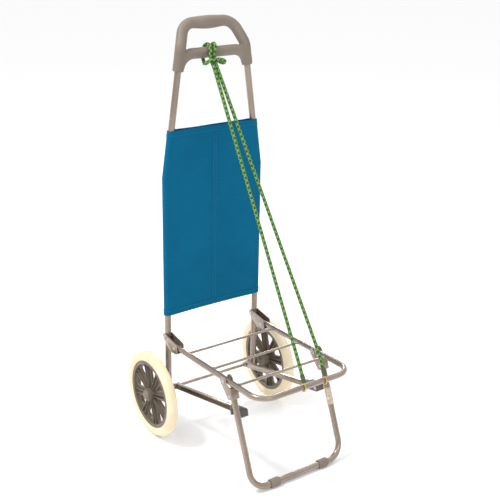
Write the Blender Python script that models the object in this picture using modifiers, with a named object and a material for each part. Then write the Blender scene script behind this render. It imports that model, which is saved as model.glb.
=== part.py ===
"""Folding beach cart: tube frame on two wheels, hinged deck, prop leg, braces, fabric panel and bungee.

Metres, +Z up.  The deck points towards -Y and the origin is on the floor, under the middle of the frame.
"""
import math

import bmesh
import bpy
from mathutils import Matrix, Vector

# ---------------------------------------------------------------- driving dimensions
GAP = 0.0003                    # clearance between pieces that touch
SIDES = 4                       # bevel resolution of tubes: twelve flats round
SIGN = {"left": -1.0, "right": 1.0}

TYRE_RADIUS = 0.105
TYRE_WIDTH = 0.022
RIM_RADIUS = 0.0832
WHEEL_X = 0.171                 # mid-plane of each wheel
CAP_RADIUS = 0.0125
WHEEL_STEPS = 36
SPOKES = 8

FRAME_X = 0.1257                # half the distance between the uprights, rails and leg sides
UPRIGHT_RADIUS = 0.0075
UPRIGHT_BEND_Z = 0.638
UPRIGHT_TOP_X = 0.0922
SOCKET_Z = 0.876                # lower ends of the handle's sockets
UPRIGHT_TOP_Z = 0.926
LEAN = 0.0225                   # forward lean of the uprights, metres per metre
TUBE_WALL = 0.0012

DECK_DEPTH = 0.376              # from the deck hinge to the middle of the front bar
RAIL_RADIUS = 0.0065
RAIL_DROP = 0.0148              # the rails lie this far below the hinge pins
DECK_CORNER = 0.040
DECK_TILT = math.radians(1.1)
RUNG_RADIUS = 0.003
RAIL_RIVET = 0.043              # distance of the bracket rivets from the hinge pins
RUNG_DISTANCES = (0.085, 0.186, 0.286)

AXLE_RADIUS = 0.004
AXLE_Z = TYRE_RADIUS
HINGE_Z = 0.2455
LEG_PIVOT = 0.250               # distance of the leg pins from the hinge pins, along the rails
LEG_RADIUS = 0.007
LEG_SLANT = math.radians(20.9)
LEG_OFFSET = 0.0143             # the leg tube runs this far in front of its pin
LEG_CORNER = 0.038
LEG_RIVET = 0.034               # distance of the knuckle rivets down the leg
FOOT_RADIUS = 0.010
FOOT_Z = 0.0092
FOOT_X = 0.068
FOOT_LENGTH = 0.024

BRACE_X = 0.103
BRACE_END = (-0.288, 0.164)     # pin of the brace clip: Y from the axle, Z
BRACE_HALF = 0.0065
BRACE_THICKNESS = 0.009
BRACE_PIN = math.hypot(BRACE_END[0], BRACE_END[1] - AXLE_Z)
CHANNEL_WEB = 0.0014
CLIP_START = 0.250
CLIP_SLEEVE_END = 0.262
CLIP_END = 0.300
CLIP_HALF = 0.0085
CLIP_INNER = 0.0965             # the clip's face towards the middle of the cart
CLIP_OUTER = 0.1175             # and the one towards the leg
CLIP_WALL = 0.0022

CHANNEL_INSIDE = 0.0158         # inside width of the folded brackets
CHANNEL_WALL = 0.002
PIN_RADIUS = 0.0028

PANEL_TOP = 0.7456
PANEL_BOTTOM = 0.302
PANEL_CLOTH = 0.0012

GRIP_RADIUS = 0.013
GRIP_TOP_Z = 0.9755
GRIP_TOP_X = 0.0635             # half width between the grip's corners
GRIP_LEAN_Z = 0.925             # above this height the grip leans further back
GRIP_LEAN = 0.47
GRIP_CORNER = 0.036
CROSS_BAR_Z = 0.9115

CORD_RADIUS = 0.004
HITCH_X = -0.005
HOOK_X = {"left": -0.012, "right": 0.046}
STRAND_X = {"left": -0.0165, "right": -0.0080}
HOOK_WIRE = 0.00175
FERRULE_RADIUS = 0.0052
FERRULE_LENGTH = 0.018

# The tyres' back edge and the deck's front edge lie at equal distances from the origin.
AXLE_Y = (DECK_DEPTH + RAIL_RADIUS + LEAN * (HINGE_Z - AXLE_Z) - TYRE_RADIUS) / 2.0


def upright_y(z):
    """Y of the uprights' middle line at height z."""
    return AXLE_Y - LEAN * (z - AXLE_Z)


def upright_x(z):
    """Half the distance between the uprights at height z."""
    if z <= UPRIGHT_BEND_Z:
        return FRAME_X
    share = (z - UPRIGHT_BEND_Z) / (SOCKET_Z - UPRIGHT_BEND_Z)
    return FRAME_X + (UPRIGHT_TOP_X - FRAME_X) * share


HINGE_Y = upright_y(HINGE_Z)


def deck(x, distance, height=-RAIL_DROP):
    """A point of the deck: distance in front of the hinge pins, height above them."""
    along = math.cos(DECK_TILT) * distance - math.sin(DECK_TILT) * height
    up = math.sin(DECK_TILT) * distance + math.cos(DECK_TILT) * height
    return Vector((x, HINGE_Y - along, HINGE_Z + up))


LEG_PIN = deck(0.0, LEG_PIVOT)
FRONT_BAR = deck(0.0, DECK_DEPTH)


def leg(x, down, forward=LEG_OFFSET):
    """A point of the leg: distance down from its pin along the tube, and forward across it."""
    sine, cosine = math.sin(LEG_SLANT), math.cos(LEG_SLANT)
    return Vector((x, LEG_PIN.y - down * sine - forward * cosine, LEG_PIN.z - down * cosine + forward * sine))


LEG_LENGTH = (leg(0.0, 0.0).z - FOOT_Z) / math.cos(LEG_SLANT)
FOOT_Y = leg(0.0, LEG_LENGTH).y

BRACE_RISE = math.atan2(BRACE_END[1] - AXLE_Z, -BRACE_END[0])


def brace(x, along, up=0.0):
    """A point of a brace: distance from the axle along the bar, and up across it."""
    sine, cosine = math.sin(BRACE_RISE), math.cos(BRACE_RISE)
    return Vector((x, AXLE_Y - along * cosine + up * sine, AXLE_Z + along * sine + up * cosine))


# ---------------------------------------------------------------- scene, collections and materials
for old in list(bpy.data.objects):
    bpy.data.objects.remove(old, do_unlink=True)

parts = bpy.data.collections.new("beach_cart")
cutters = bpy.data.collections.new("cutters")
bpy.context.scene.collection.children.link(parts)
bpy.context.scene.collection.children.link(cutters)


def finish(name, colour, roughness, metallic=0.0):
    """A plain Principled material."""
    material = bpy.data.materials.new(name)
    material.use_nodes = True
    shader = material.node_tree.nodes["Principled BSDF"]
    shader.inputs["Base Color"].default_value = (*colour, 1.0)
    shader.inputs["Roughness"].default_value = roughness
    shader.inputs["Metallic"].default_value = metallic
    material.diffuse_color = (*colour, 1.0)
    return material


PAINT = finish("taupe_paint", (0.37, 0.28, 0.22), 0.38, 0.35)
MOULDED = finish("taupe_plastic", (0.34, 0.28, 0.23), 0.55)
CLIP_GREY = finish("grey_plastic", (0.12, 0.12, 0.12), 0.5)
TYRE_CREAM = finish("cream_tyre", (0.93, 0.86, 0.62), 0.7)
STEEL = finish("bright_steel", (0.62, 0.60, 0.57), 0.3, 1.0)
CLOTH = finish("blue_cloth", (0.0, 0.13, 0.27), 0.85)
CORD = finish("green_cord", (0.07, 0.26, 0.05), 0.8)
BRASS = finish("brass_wire", (0.62, 0.45, 0.15), 0.35, 1.0)
CRIMP = finish("crimp_metal", (0.10, 0.10, 0.05), 0.5, 0.6)
PAPER = finish("cream_label", (0.80, 0.74, 0.62), 0.6)


# ---------------------------------------------------------------- modelling helpers
def place(obj, material, collection=parts):
    """Put an object in its collection, with its material and smooth round faces."""
    for home in list(obj.users_collection):
        home.objects.unlink(obj)
    collection.objects.link(obj)
    obj.data.materials.clear()
    obj.data.materials.append(material)
    obj.data.shade_smooth()
    obj.data.set_sharp_from_angle(angle=math.radians(35))
    return obj


def as_cutter(obj):
    """Mark an object as a guide that is left out of the model."""
    obj.hide_render = True
    obj.display_type = "WIRE"
    for home in list(obj.users_collection):
        home.objects.unlink(obj)
    cutters.objects.link(obj)
    return obj


def curve_to_mesh(curve_object, name):
    """Swap a curve object for a mesh object with welded caps."""
    bpy.context.scene.collection.objects.link(curve_object)
    bpy.context.view_layer.update()
    graph = bpy.context.evaluated_depsgraph_get()
    mesh = bpy.data.meshes.new_from_object(curve_object.evaluated_get(graph))
    mesh.name = name
    shape = bmesh.new()
    shape.from_mesh(mesh)
    bmesh.ops.remove_doubles(shape, verts=shape.verts, dist=0.00001)
    bmesh.ops.recalc_face_normals(shape, faces=shape.faces)
    bmesh.ops.triangulate(shape, faces=shape.faces)
    shape.to_mesh(mesh)
    shape.free()
    placement = curve_object.matrix_world.copy()
    bpy.data.objects.remove(curve_object, do_unlink=True)
    result = bpy.data.objects.new(name, mesh)
    result.matrix_world = placement
    bpy.context.scene.collection.objects.link(result)
    return result


def sweep(name, points, radius, sides=SIDES, swell=None):
    """A round bar along points, with filled ends; swell scales the radius at each point."""
    curve = bpy.data.curves.new(name, "CURVE")
    curve.dimensions = "3D"
    curve.bevel_depth = radius
    curve.bevel_resolution = sides
    curve.use_fill_caps = True
    spline = curve.splines.new("POLY")
    spline.points.add(len(points) - 1)
    for index, point in enumerate(points):
        spline.points[index].co = (*point, 1.0)
        spline.points[index].radius = swell[index] if swell else 1.0
    return curve_to_mesh(bpy.data.objects.new(name, curve), name)


def outline_solid(name, outline, centre_x, half_width):
    """A flat outline of points in the Y-Z plane, given a thickness along X."""
    curve = bpy.data.curves.new(name, "CURVE")
    curve.dimensions = "2D"
    curve.fill_mode = "BOTH"
    curve.extrude = half_width
    spline = curve.splines.new("POLY")
    spline.points.add(len(outline) - 1)
    for index, point in enumerate(outline):
        spline.points[index].co = (point.y, point.z, 0.0, 1.0)
    spline.use_cyclic_u = True
    obj = bpy.data.objects.new(name, curve)
    obj.matrix_world = Matrix(((0, 0, 1, centre_x), (1, 0, 0, 0), (0, 1, 0, 0), (0, 0, 0, 1)))
    return curve_to_mesh(obj, name)


def turned(name, profile, steps, centre, outward=1.0, closed=False, turn=0.0):
    """A turned shape: (radius, height) pairs from top to bottom, its axis along world X."""
    mesh = bpy.data.meshes.new(name)
    edges = [(index, index + 1) for index in range(len(profile) - 1)]
    if closed:
        edges.append((len(profile) - 1, 0))
    mesh.from_pydata([(radius, 0.0, height) for radius, height in profile], edges, [])
    obj = bpy.data.objects.new(name, mesh)
    bpy.context.scene.collection.objects.link(obj)
    obj.location = centre
    sideways = Matrix.Rotation(outward * math.pi / 2.0, 3, "Y")
    obj.rotation_euler = (Matrix.Rotation(turn, 3, "X") @ sideways).to_euler()
    screw = obj.modifiers.new("Turn", "SCREW")
    screw.steps = steps
    screw.render_steps = steps
    screw.use_merge_vertices = True
    screw.merge_threshold = 0.00001
    return obj


def rod(name, centre, length, radius, sides=10, turn=0.0):
    """A plain round rod along X."""
    return turned(name, [(0.0, length / 2), (radius, length / 2), (radius, -length / 2), (0.0, -length / 2)],
                  sides, centre, turn=turn)


def drill(centre, radius, length=0.04):
    """A guide for a round hole along X, its flats turned clear of the tube's own edges."""
    sides = 12 if radius > PIN_RADIUS else 8
    return rod("drill", centre, length, radius, sides, turn=0.33)


def rivet(name, centre, length, radius=PIN_RADIUS - GAP, head=0.0052, dome=0.0018, steps=10):
    """A rivet along X: a shank between two low domed heads."""
    half = length / 2
    upper = [(0.0, half + dome), (head * 0.62, half + dome * 0.8), (head, half), (radius, half)]
    lower = [(radius, -half), (head, -half), (head * 0.62, -half - dome * 0.8), (0.0, -half - dome)]
    return place(turned(name, upper + lower, steps, centre), STEEL)


def combine(obj, other, operation):
    """Join or cut an object with another one, which becomes a guide."""
    modifier = obj.modifiers.new(operation.title(), "BOOLEAN")
    modifier.operation = operation
    modifier.object = as_cutter(other)
    return obj


def cut(obj, *others):
    for other in others:
        combine(obj, other, "DIFFERENCE")
    return obj


def join(obj, *others):
    for other in others:
        combine(obj, other, "UNION")
    return obj


def merged(name, objects):
    """One guide object that holds several separate solids."""
    shape = bmesh.new()
    bpy.context.view_layer.update()
    graph = bpy.context.evaluated_depsgraph_get()
    for obj in objects:
        mesh = bpy.data.meshes.new_from_object(obj.evaluated_get(graph))
        mesh.transform(obj.matrix_world)
        shape.from_mesh(mesh)
        bpy.data.meshes.remove(mesh)
        bpy.data.objects.remove(obj, do_unlink=True)
    bmesh.ops.triangulate(shape, faces=shape.faces)
    mesh = bpy.data.meshes.new(name)
    shape.to_mesh(mesh)
    shape.free()
    result = bpy.data.objects.new(name, mesh)
    bpy.context.scene.collection.objects.link(result)
    return result


def rounded_path(corners, radius, steps):
    """Straight runs through corner points, with a round bend of one radius at each inner corner."""
    path = [corners[0].copy()]
    for before, corner, after in zip(corners, corners[1:], corners[2:]):
        inward, outward = (before - corner).normalized(), (after - corner).normalized()
        half = inward.angle(outward) / 2.0
        centre = corner + (inward + outward).normalized() * (radius / math.sin(half))
        start = corner + inward * (radius / math.tan(half)) - centre
        finish_point = corner + outward * (radius / math.tan(half)) - centre
        sweep_angle = start.angle(finish_point)
        for step in range(steps + 1):
            share = step / steps
            blend = (start * math.sin((1 - share) * sweep_angle) + finish_point * math.sin(share * sweep_angle))
            path.append(centre + blend / math.sin(sweep_angle))
    path.append(corners[-1].copy())
    return path


def with_stops(points, stops):
    """The same path with extra points at these distances from its first end, on the first straight run."""
    direction = (points[1] - points[0]).normalized()
    return [points[0]] + [points[0] + direction * stop for stop in stops] + points[1:]


def stops_at_ends(points, stops):
    """The same path with extra points at these distances from both ends."""
    return with_stops(with_stops(points, stops)[::-1], stops)[::-1]


def stretched(points, extra):
    """The same path, run on past both of its ends."""
    first = points[0] + (points[0] - points[1]).normalized() * extra
    last = points[-1] + (points[-1] - points[-2]).normalized() * extra
    return [first] + points[1:-1] + [last]


def hollow_tube(name, points, radius):
    """A steel tube, open at both ends."""
    tube = sweep(name, points, radius)
    return cut(tube, sweep(name + "_bore", stretched(points, 0.01), radius - TUBE_WALL))


def smooth_route(knots, spacing):
    """Evenly spaced points on a smooth curve through the knots."""
    padded = [2 * knots[0] - knots[1]] + list(knots) + [2 * knots[-1] - knots[-2]]
    fine = []
    for a, b, c, d in zip(padded, padded[1:], padded[2:], padded[3:]):
        for step in range(24):
            t = step / 24.0
            fine.append(0.5 * (2 * b + (c - a) * t + (2 * a - 5 * b + 4 * c - d) * t * t
                               + (3 * b - a - 3 * c + d) * t ** 3))
    fine.append(knots[-1].copy())
    lengths = [0.0]
    for start, end in zip(fine, fine[1:]):
        lengths.append(lengths[-1] + (end - start).length)
    count = max(2, round(lengths[-1] / spacing))
    route, index = [], 0
    for number in range(count + 1):
        target = lengths[-1] * number / count
        while index < len(lengths) - 2 and lengths[index + 1] < target:
            index += 1
        span = lengths[index + 1] - lengths[index]
        route.append(fine[index].lerp(fine[index + 1], (target - lengths[index]) / span))
    return route


def arc(centre, radius, first, last, steps, make):
    """Points of an arc in a piece's own two directions; make turns a pair into a world point."""
    result = []
    for step in range(steps + 1):
        angle = math.radians(first + (last - first) * step / steps)
        result.append(make(centre[0] + radius * math.cos(angle), centre[1] + radius * math.sin(angle)))
    return result


# ---------------------------------------------------------------- uprights and axle
AXLE_CENTRE = Vector((0.0, AXLE_Y, AXLE_Z))

for side, sign in SIGN.items():
    corners = [Vector((sign * upright_x(z), upright_y(z), z)) for z in (0.0935, UPRIGHT_BEND_Z, UPRIGHT_TOP_Z)]
    upright_path = with_stops(rounded_path(corners, 0.14, 3), (0.025, 0.132, 0.172))
    upright_path = with_stops(upright_path[::-1], (0.015, 0.052))[::-1]
    upright = hollow_tube(side + "_upright", upright_path, UPRIGHT_RADIUS)
    holes = [drill((sign * FRAME_X, AXLE_Y, AXLE_Z), AXLE_RADIUS + GAP),
             drill((sign * FRAME_X, HINGE_Y, HINGE_Z), PIN_RADIUS)]
    screw_hole = rod("screw_hole", (0.0, 0.0, 0.0), 0.03, 0.002)
    screw_hole.matrix_world = (Matrix.Translation((sign * upright_x(0.893), upright_y(0.893) + 0.015, 0.893))
                               @ Matrix.Rotation(-math.pi / 2.0, 4, "X"))
    holes.append(screw_hole)
    place(cut(upright, merged(side + "_upright_holes", holes)), PAINT)

    plug_profile = [(0.0, 0.0068), (0.0042, 0.0068), (0.0042, 0.0), (0.0074, -0.0003), (0.0074, -0.0018),
                    (0.0055, -0.0035), (0.0, -0.0035)]
    plug = turned(side + "_tube_plug", plug_profile, 12, (sign * FRAME_X, upright_y(0.0935), 0.093))
    plug.rotation_euler = (LEAN, 0.0, 0.0)
    place(plug, MOULDED)

axle_half = WHEEL_X + TYRE_WIDTH / 2 + 0.0085
place(rod("axle_rod", AXLE_CENTRE, 2 * axle_half, AXLE_RADIUS, 16), STEEL)

# ---------------------------------------------------------------- handle
def handle_point(x, z):
    """A point of the handle: its upper part leans further back than the uprights."""
    return Vector((x, upright_y(z) + GRIP_LEAN * max(0.0, z - GRIP_LEAN_Z), z))


arch_half = [handle_point(UPRIGHT_TOP_X, SOCKET_Z), handle_point(upright_x(GRIP_LEAN_Z), GRIP_LEAN_Z),
             handle_point(GRIP_TOP_X, GRIP_TOP_Z)]
arch_corners = [Vector((-point.x, point.y, point.z)) for point in arch_half] + arch_half[::-1]
arch_path = rounded_path(arch_corners, GRIP_CORNER, 6)
middle = len(arch_path) // 2
arch_path[middle:middle] = [handle_point(x, GRIP_TOP_Z) for x in (-0.020, 0.0, 0.020)]
arch_swell = [0.93 + 0.22 * max(0.0, 1.0 - abs(point.x) / 0.05) if point.z > GRIP_TOP_Z - 0.002 else 0.96
              for point in arch_path]
handle = sweep("handle", arch_path, GRIP_RADIUS, 4, arch_swell)
bar_path = rounded_path([handle_point(-0.0912, 0.880), handle_point(-0.082, CROSS_BAR_Z),
                         handle_point(0.082, CROSS_BAR_Z), handle_point(0.0912, 0.880)], 0.037, 5)
cross_bar = sweep("handle_cross_bar", bar_path, GRIP_RADIUS - 0.0004, 4)
join(handle, cross_bar)
sockets = []
for sign in SIGN.values():
    top = Vector((sign * upright_x(UPRIGHT_TOP_Z), upright_y(UPRIGHT_TOP_Z), UPRIGHT_TOP_Z))
    below = Vector((sign * upright_x(SOCKET_Z - 0.02), upright_y(SOCKET_Z - 0.02), SOCKET_Z - 0.02))
    reach = top + (top - below).normalized() * 0.001
    sockets.append(sweep("socket", [below, reach], UPRIGHT_RADIUS + GAP))
cut(handle, merged("handle_sockets", sockets))
screw_holes = []
for sign in SIGN.values():
    hole = rod("screw_hole", (0.0, 0.0, 0.0), 0.03, 0.002)
    hole.matrix_world = (Matrix.Translation((sign * upright_x(0.893), upright_y(0.893) + 0.015, 0.893))
                         @ Matrix.Rotation(-math.pi / 2.0, 4, "X"))
    screw_holes.append(hole)
cut(handle, merged("handle_screw_holes", screw_holes))
place(handle, MOULDED)

for side, sign in SIGN.items():
    head_profile = [(0.0, 0.0026), (0.0026, 0.0024), (0.0042, 0.0012), (0.0042, 0.0), (0.0017, 0.0),
                    (0.0017, -0.0105), (0.0, -0.0122)]
    screw = turned(side + "_handle_screw", head_profile, 12,
                   (sign * upright_x(0.893), upright_y(0.893) + GRIP_RADIUS + 0.0002, 0.893))
    screw.rotation_euler = (-math.pi / 2.0, 0.0, 0.0)
    place(screw, STEEL)

# ---------------------------------------------------------------- fabric panel: a sleeve round both uprights
PANEL_DEPTH = UPRIGHT_RADIUS + PANEL_CLOTH + 0.0009


def panel_ring(z):
    """Points round the sleeve at height z: a flat oval that holds both tubes."""
    half, middle_y = upright_x(z), upright_y(z)
    ring = []
    for step in range(6):
        angle = -math.pi / 2.0 + math.pi * step / 5.0
        ring.append(Vector((half + PANEL_DEPTH * math.cos(angle), middle_y + PANEL_DEPTH * math.sin(angle), z)))
    for step in range(6):
        angle = math.pi / 2.0 + math.pi * step / 5.0
        ring.append(Vector((-half + PANEL_DEPTH * math.cos(angle), middle_y + PANEL_DEPTH * math.sin(angle), z)))
    return ring


cloth_shape = bmesh.new()
previous = None
for height in (PANEL_BOTTOM, 0.46, 0.60, 0.62, UPRIGHT_BEND_Z, 0.656, 0.676, PANEL_TOP):
    current = [cloth_shape.verts.new(point) for point in panel_ring(height)]
    if previous:
        for index in range(len(current)):
            following = (index + 1) % len(current)
            cloth_shape.faces.new((previous[index], previous[following], current[following], current[index]))
    previous = current
cloth_mesh = bpy.data.meshes.new("fabric_panel")
cloth_shape.to_mesh(cloth_mesh)
cloth_shape.free()
panel = bpy.data.objects.new("fabric_panel", cloth_mesh)
bpy.context.scene.collection.objects.link(panel)
thickness = panel.modifiers.new("Cloth", "SOLIDIFY")
thickness.thickness = PANEL_CLOTH
thickness.offset = -1.0
place(panel, CLOTH)

# ---------------------------------------------------------------- deck: loop, rungs and hinge brackets
rail_start = 0.030
loop_corners = [deck(-FRAME_X, rail_start), deck(-FRAME_X, DECK_DEPTH), deck(FRAME_X, DECK_DEPTH),
                deck(FRAME_X, rail_start)]
loop_path = stops_at_ends(rounded_path(loop_corners, DECK_CORNER, 5), (0.004, 0.024, 0.208, 0.232))
deck_loop = hollow_tube("deck_loop", loop_path,
                        RAIL_RADIUS)
loop_holes = []
for sign in SIGN.values():
    loop_holes.append(drill(deck(sign * FRAME_X, LEG_PIVOT), PIN_RADIUS))
    loop_holes.append(drill(deck(sign * FRAME_X, RAIL_RIVET), PIN_RADIUS))
place(cut(deck_loop, merged("deck_loop_holes", loop_holes)), PAINT)

rung_length = 2 * (FRAME_X - RAIL_RADIUS - GAP)
for name, distance in zip(("rear_rung", "middle_rung", "front_rung"), RUNG_DISTANCES):
    place(rod(name, deck(0.0, distance), rung_length, RUNG_RADIUS), PAINT)


def hinge_point(along, up):
    return deck(0.0, -along, up)


bracket_outline = (arc((0.0, 0.0), 0.009, 120.0, -60.0, 6, hinge_point)
                   + [hinge_point(-0.005, -0.0150), hinge_point(-0.030, -0.0280), hinge_point(-0.050, -0.0270),
                      hinge_point(-0.055, -0.0225), hinge_point(-0.055, -0.0070), hinge_point(-0.050, -0.0020)])
bracket_inside = [hinge_point(*pair) for pair in
                  ((-0.070, 0.020), (0.020, 0.020), (0.020, -0.045), (-0.0082, -0.045), (-0.0082, -0.0142),
                   (-0.030, -0.0258), (-0.050, -0.0248), (-0.070, -0.0216))]
for side, sign in SIGN.items():
    x = sign * FRAME_X
    bracket = outline_solid(side + "_hinge_bracket", bracket_outline, x, CHANNEL_INSIDE / 2 + CHANNEL_WALL)
    cut(bracket, outline_solid(side + "_bracket_inside", bracket_inside, x, CHANNEL_INSIDE / 2),
        drill(deck(x, 0.0, 0.0), PIN_RADIUS),
        drill(deck(x, RAIL_RIVET), PIN_RADIUS))
    place(bracket, PAINT)
    rivet_length = CHANNEL_INSIDE + 2 * CHANNEL_WALL + 2 * GAP
    rivet(side + "_hinge_pin", deck(x, 0.0, 0.0), rivet_length)
    rivet(side + "_rail_rivet", deck(x, RAIL_RIVET), rivet_length, head=0.0046)

# ---------------------------------------------------------------- leg: bent tube, knuckles, feet, label
leg_corners = [leg(-FRAME_X, 0.0172), leg(-FRAME_X, LEG_LENGTH), leg(FRAME_X, LEG_LENGTH), leg(FRAME_X, 0.0172)]
leg_loop = hollow_tube("leg_loop", stops_at_ends(rounded_path(leg_corners, LEG_CORNER, 5), (0.030,)), LEG_RADIUS)
leg_holes = [drill(leg(sign * FRAME_X, LEG_RIVET), PIN_RADIUS) for sign in SIGN.values()]
place(cut(leg_loop, merged("leg_holes", leg_holes)), PAINT)


def knuckle_point(down, forward):
    return leg(0.0, down, forward)


knuckle_outline = (arc((0.0, 0.0), 0.0115, 60.0, 290.0, 7, knuckle_point)
                   + [knuckle_point(0.042, 0.0052), knuckle_point(0.042, 0.0236), knuckle_point(0.0175, 0.0236)])
knuckle_inside = [knuckle_point(*pair) for pair in ((-0.03, -0.03), (0.06, -0.03), (0.06, 0.0216), (-0.03, 0.0216))]
for side, sign in SIGN.items():
    x = sign * FRAME_X
    knuckle = outline_solid(side + "_leg_knuckle", knuckle_outline, x, CHANNEL_INSIDE / 2 + CHANNEL_WALL)
    cut(knuckle, outline_solid(side + "_knuckle_inside", knuckle_inside, x, CHANNEL_INSIDE / 2),
        drill(leg(x, 0.0, 0.0), PIN_RADIUS),
        drill(leg(x, LEG_RIVET), PIN_RADIUS))
    place(knuckle, PAINT)
    rivet_length = CHANNEL_INSIDE + 2 * CHANNEL_WALL + 2 * GAP
    rivet(side + "_leg_pin", leg(x, 0.0, 0.0), rivet_length)
    rivet(side + "_leg_rivet", leg(x, LEG_RIVET), rivet_length, head=0.0046)

    half = FOOT_LENGTH / 2
    foot_profile = [(FOOT_RADIUS - 0.001, half), (FOOT_RADIUS, half - 0.001), (FOOT_RADIUS, 0.001 - half),
                    (FOOT_RADIUS - 0.001, -half), (LEG_RADIUS + GAP, -half), (LEG_RADIUS + GAP, half)]
    foot = turned(side + "_foot_sleeve", foot_profile, 20, (sign * FOOT_X, FOOT_Y, FOOT_Z), closed=True)
    bpy.ops.mesh.primitive_cube_add(size=1.0, location=(sign * FOOT_X, FOOT_Y, -0.005))
    sole = bpy.context.active_object
    sole.scale = (0.05, 0.03, 0.01)
    place(cut(foot, sole), MOULDED)

label_path = [leg(FRAME_X, 0.085), leg(FRAME_X, 0.125)]
label = sweep("blank_label", label_path, LEG_RADIUS + GAP + 0.0003)
place(cut(label, sweep("label_inside", stretched(label_path, 0.01), LEG_RADIUS + GAP)), PAPER)

# ---------------------------------------------------------------- braces and their clips


def brace_pair(along, up):
    return brace(0.0, along, up)


bar_outline = arc((0.0, 0.0), BRACE_HALF, 90.0, 270.0, 6, brace_pair)
bar_outline += [brace(0.0, CLIP_SLEEVE_END - 0.003, up) for up in (-BRACE_HALF, BRACE_HALF)]
bar_inside = [brace(0.0, along, up) for along, up in
              ((0.016, -BRACE_HALF + CHANNEL_WEB), (0.255, -BRACE_HALF + CHANNEL_WEB),
               (0.255, BRACE_HALF - CHANNEL_WEB), (0.016, BRACE_HALF - CHANNEL_WEB))]
clip_outline = [brace(0.0, along, up) for along, up in
                ((CLIP_START, -CLIP_HALF), (CLIP_END, -CLIP_HALF), (CLIP_END, CLIP_HALF - 0.002),
                 (CLIP_END - 0.002, CLIP_HALF), (CLIP_START, CLIP_HALF))]
clip_sleeve = [brace(0.0, along, up) for along, up in
               ((CLIP_START - 0.01, -BRACE_HALF - GAP), (CLIP_SLEEVE_END, -BRACE_HALF - GAP),
                (CLIP_SLEEVE_END, BRACE_HALF + GAP), (CLIP_START - 0.01, BRACE_HALF + GAP))]
clip_room = [brace(0.0, along, up) for along, up in
             ((CLIP_SLEEVE_END + 0.003, -0.02), (CLIP_END - CLIP_WALL, -0.02),
              (CLIP_END - CLIP_WALL, CLIP_HALF - CLIP_WALL), (CLIP_SLEEVE_END + 0.003, CLIP_HALF - CLIP_WALL))]
clip_nose = [brace(0.0, along, up) for along, up in
             ((CLIP_START - 0.01, -0.02), (CLIP_SLEEVE_END - 0.002, -0.02), (CLIP_SLEEVE_END - 0.002, 0.02),
              (CLIP_START - 0.01, 0.02))]
for side, sign in SIGN.items():
    bar = outline_solid(side + "_brace_bar", bar_outline, sign * BRACE_X, BRACE_THICKNESS / 2)
    cut(bar,
        outline_solid(side + "_brace_inside", bar_inside, sign * (BRACE_X + CHANNEL_WEB), BRACE_THICKNESS / 2),
        drill((sign * BRACE_X, AXLE_Y, AXLE_Z), AXLE_RADIUS + GAP))
    place(bar, PAINT)

    middle_x = sign * (CLIP_INNER + CLIP_OUTER) / 2
    clip_width = CLIP_OUTER - CLIP_INNER
    clip = outline_solid(side + "_brace_clip", clip_outline, middle_x, clip_width / 2)
    room_width = clip_width - CLIP_WALL + 0.01
    room_x = sign * (CLIP_INNER + CLIP_WALL + room_width / 2)
    cut(clip, outline_solid(side + "_clip_sleeve", clip_sleeve, sign * BRACE_X, BRACE_THICKNESS / 2 + GAP),
        outline_solid(side + "_clip_room", clip_room, room_x, room_width / 2),
        outline_solid(side + "_clip_nose", clip_nose, sign * (0.1095 + 0.01), 0.01),
        drill(brace(sign * CLIP_INNER, BRACE_PIN), PIN_RADIUS, 0.012))
    place(clip, CLIP_GREY)

    pin_profile = [(0.0, 0.0095), (0.0022, 0.0095), (0.0022, -0.0124), (0.0048, -0.0124), (0.003, -0.0142),
                   (0.0, -0.0142)]
    pin = turned(side + "_brace_pin", pin_profile, 12, brace(sign * 0.1088, BRACE_PIN), outward=sign)
    place(pin, STEEL)

    spacer = [(0.0075, 0.0049), (0.0075, -0.0049), (AXLE_RADIUS + GAP, -0.0049), (AXLE_RADIUS + GAP, 0.0049)]
    place(turned(side + "_brace_spacer", spacer, 16, (sign * 0.1128, AXLE_Y, AXLE_Z), closed=True), MOULDED)
    washer = [(0.0085, 0.0006), (0.0085, -0.0006), (AXLE_RADIUS + GAP, -0.0006), (AXLE_RADIUS + GAP, 0.0006)]
    place(turned(side + "_brace_washer", washer, 16, (sign * 0.0975, AXLE_Y, AXLE_Z), closed=True), STEEL)

# ---------------------------------------------------------------- wheels


def wheel_profile(width, outer, inner, shoulder, steps=3):
    """Section of a ring with round outer shoulders, as (radius, height), from top to bottom."""
    half = width / 2
    section = []
    for first, height in ((90.0, half - shoulder), (0.0, shoulder - half)):
        for step in range(steps + 1):
            angle = math.radians(first - 90.0 * step / steps)
            section.append((outer - shoulder + shoulder * math.cos(angle), height + shoulder * math.sin(angle)))
    return section + [(inner, -half + 0.001), (inner, half - 0.001)]


def spoke_guides(name, centre, phase, make):
    """Copies of a guide at each spoke angle about a wheel's axis."""
    copies = []
    for number in range(SPOKES):
        obj = make()
        turn = Matrix.Rotation(math.radians(phase) + 2 * math.pi * number / SPOKES, 4, "X")
        obj.matrix_world = Matrix.Translation(centre) @ turn @ obj.matrix_world
        copies.append(obj)
    return merged(name, copies)


def box(low, high):
    """A box between two corners, with its scale applied."""
    shape = bmesh.new()
    bmesh.ops.create_cube(shape, size=1.0)
    size = Vector(high) - Vector(low)
    middle_point = (Vector(high) + Vector(low)) / 2.0
    bmesh.ops.scale(shape, vec=size, verts=shape.verts)
    bmesh.ops.translate(shape, vec=middle_point, verts=shape.verts)
    mesh = bpy.data.meshes.new("box")
    shape.to_mesh(mesh)
    shape.free()
    obj = bpy.data.objects.new("box", mesh)
    bpy.context.scene.collection.objects.link(obj)
    return obj


def spoke_window():
    """The opening between two spokes: a drop with its point towards the hub."""
    outline = [Vector((0.0, 0.0, 0.030))]
    outline += arc((0.0, 0.0610), 0.0105, -20.0, 200.0, 6, lambda y, z: Vector((0.0, y, z)))
    return outline_solid("window", outline, 0.0, 0.02)


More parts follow.
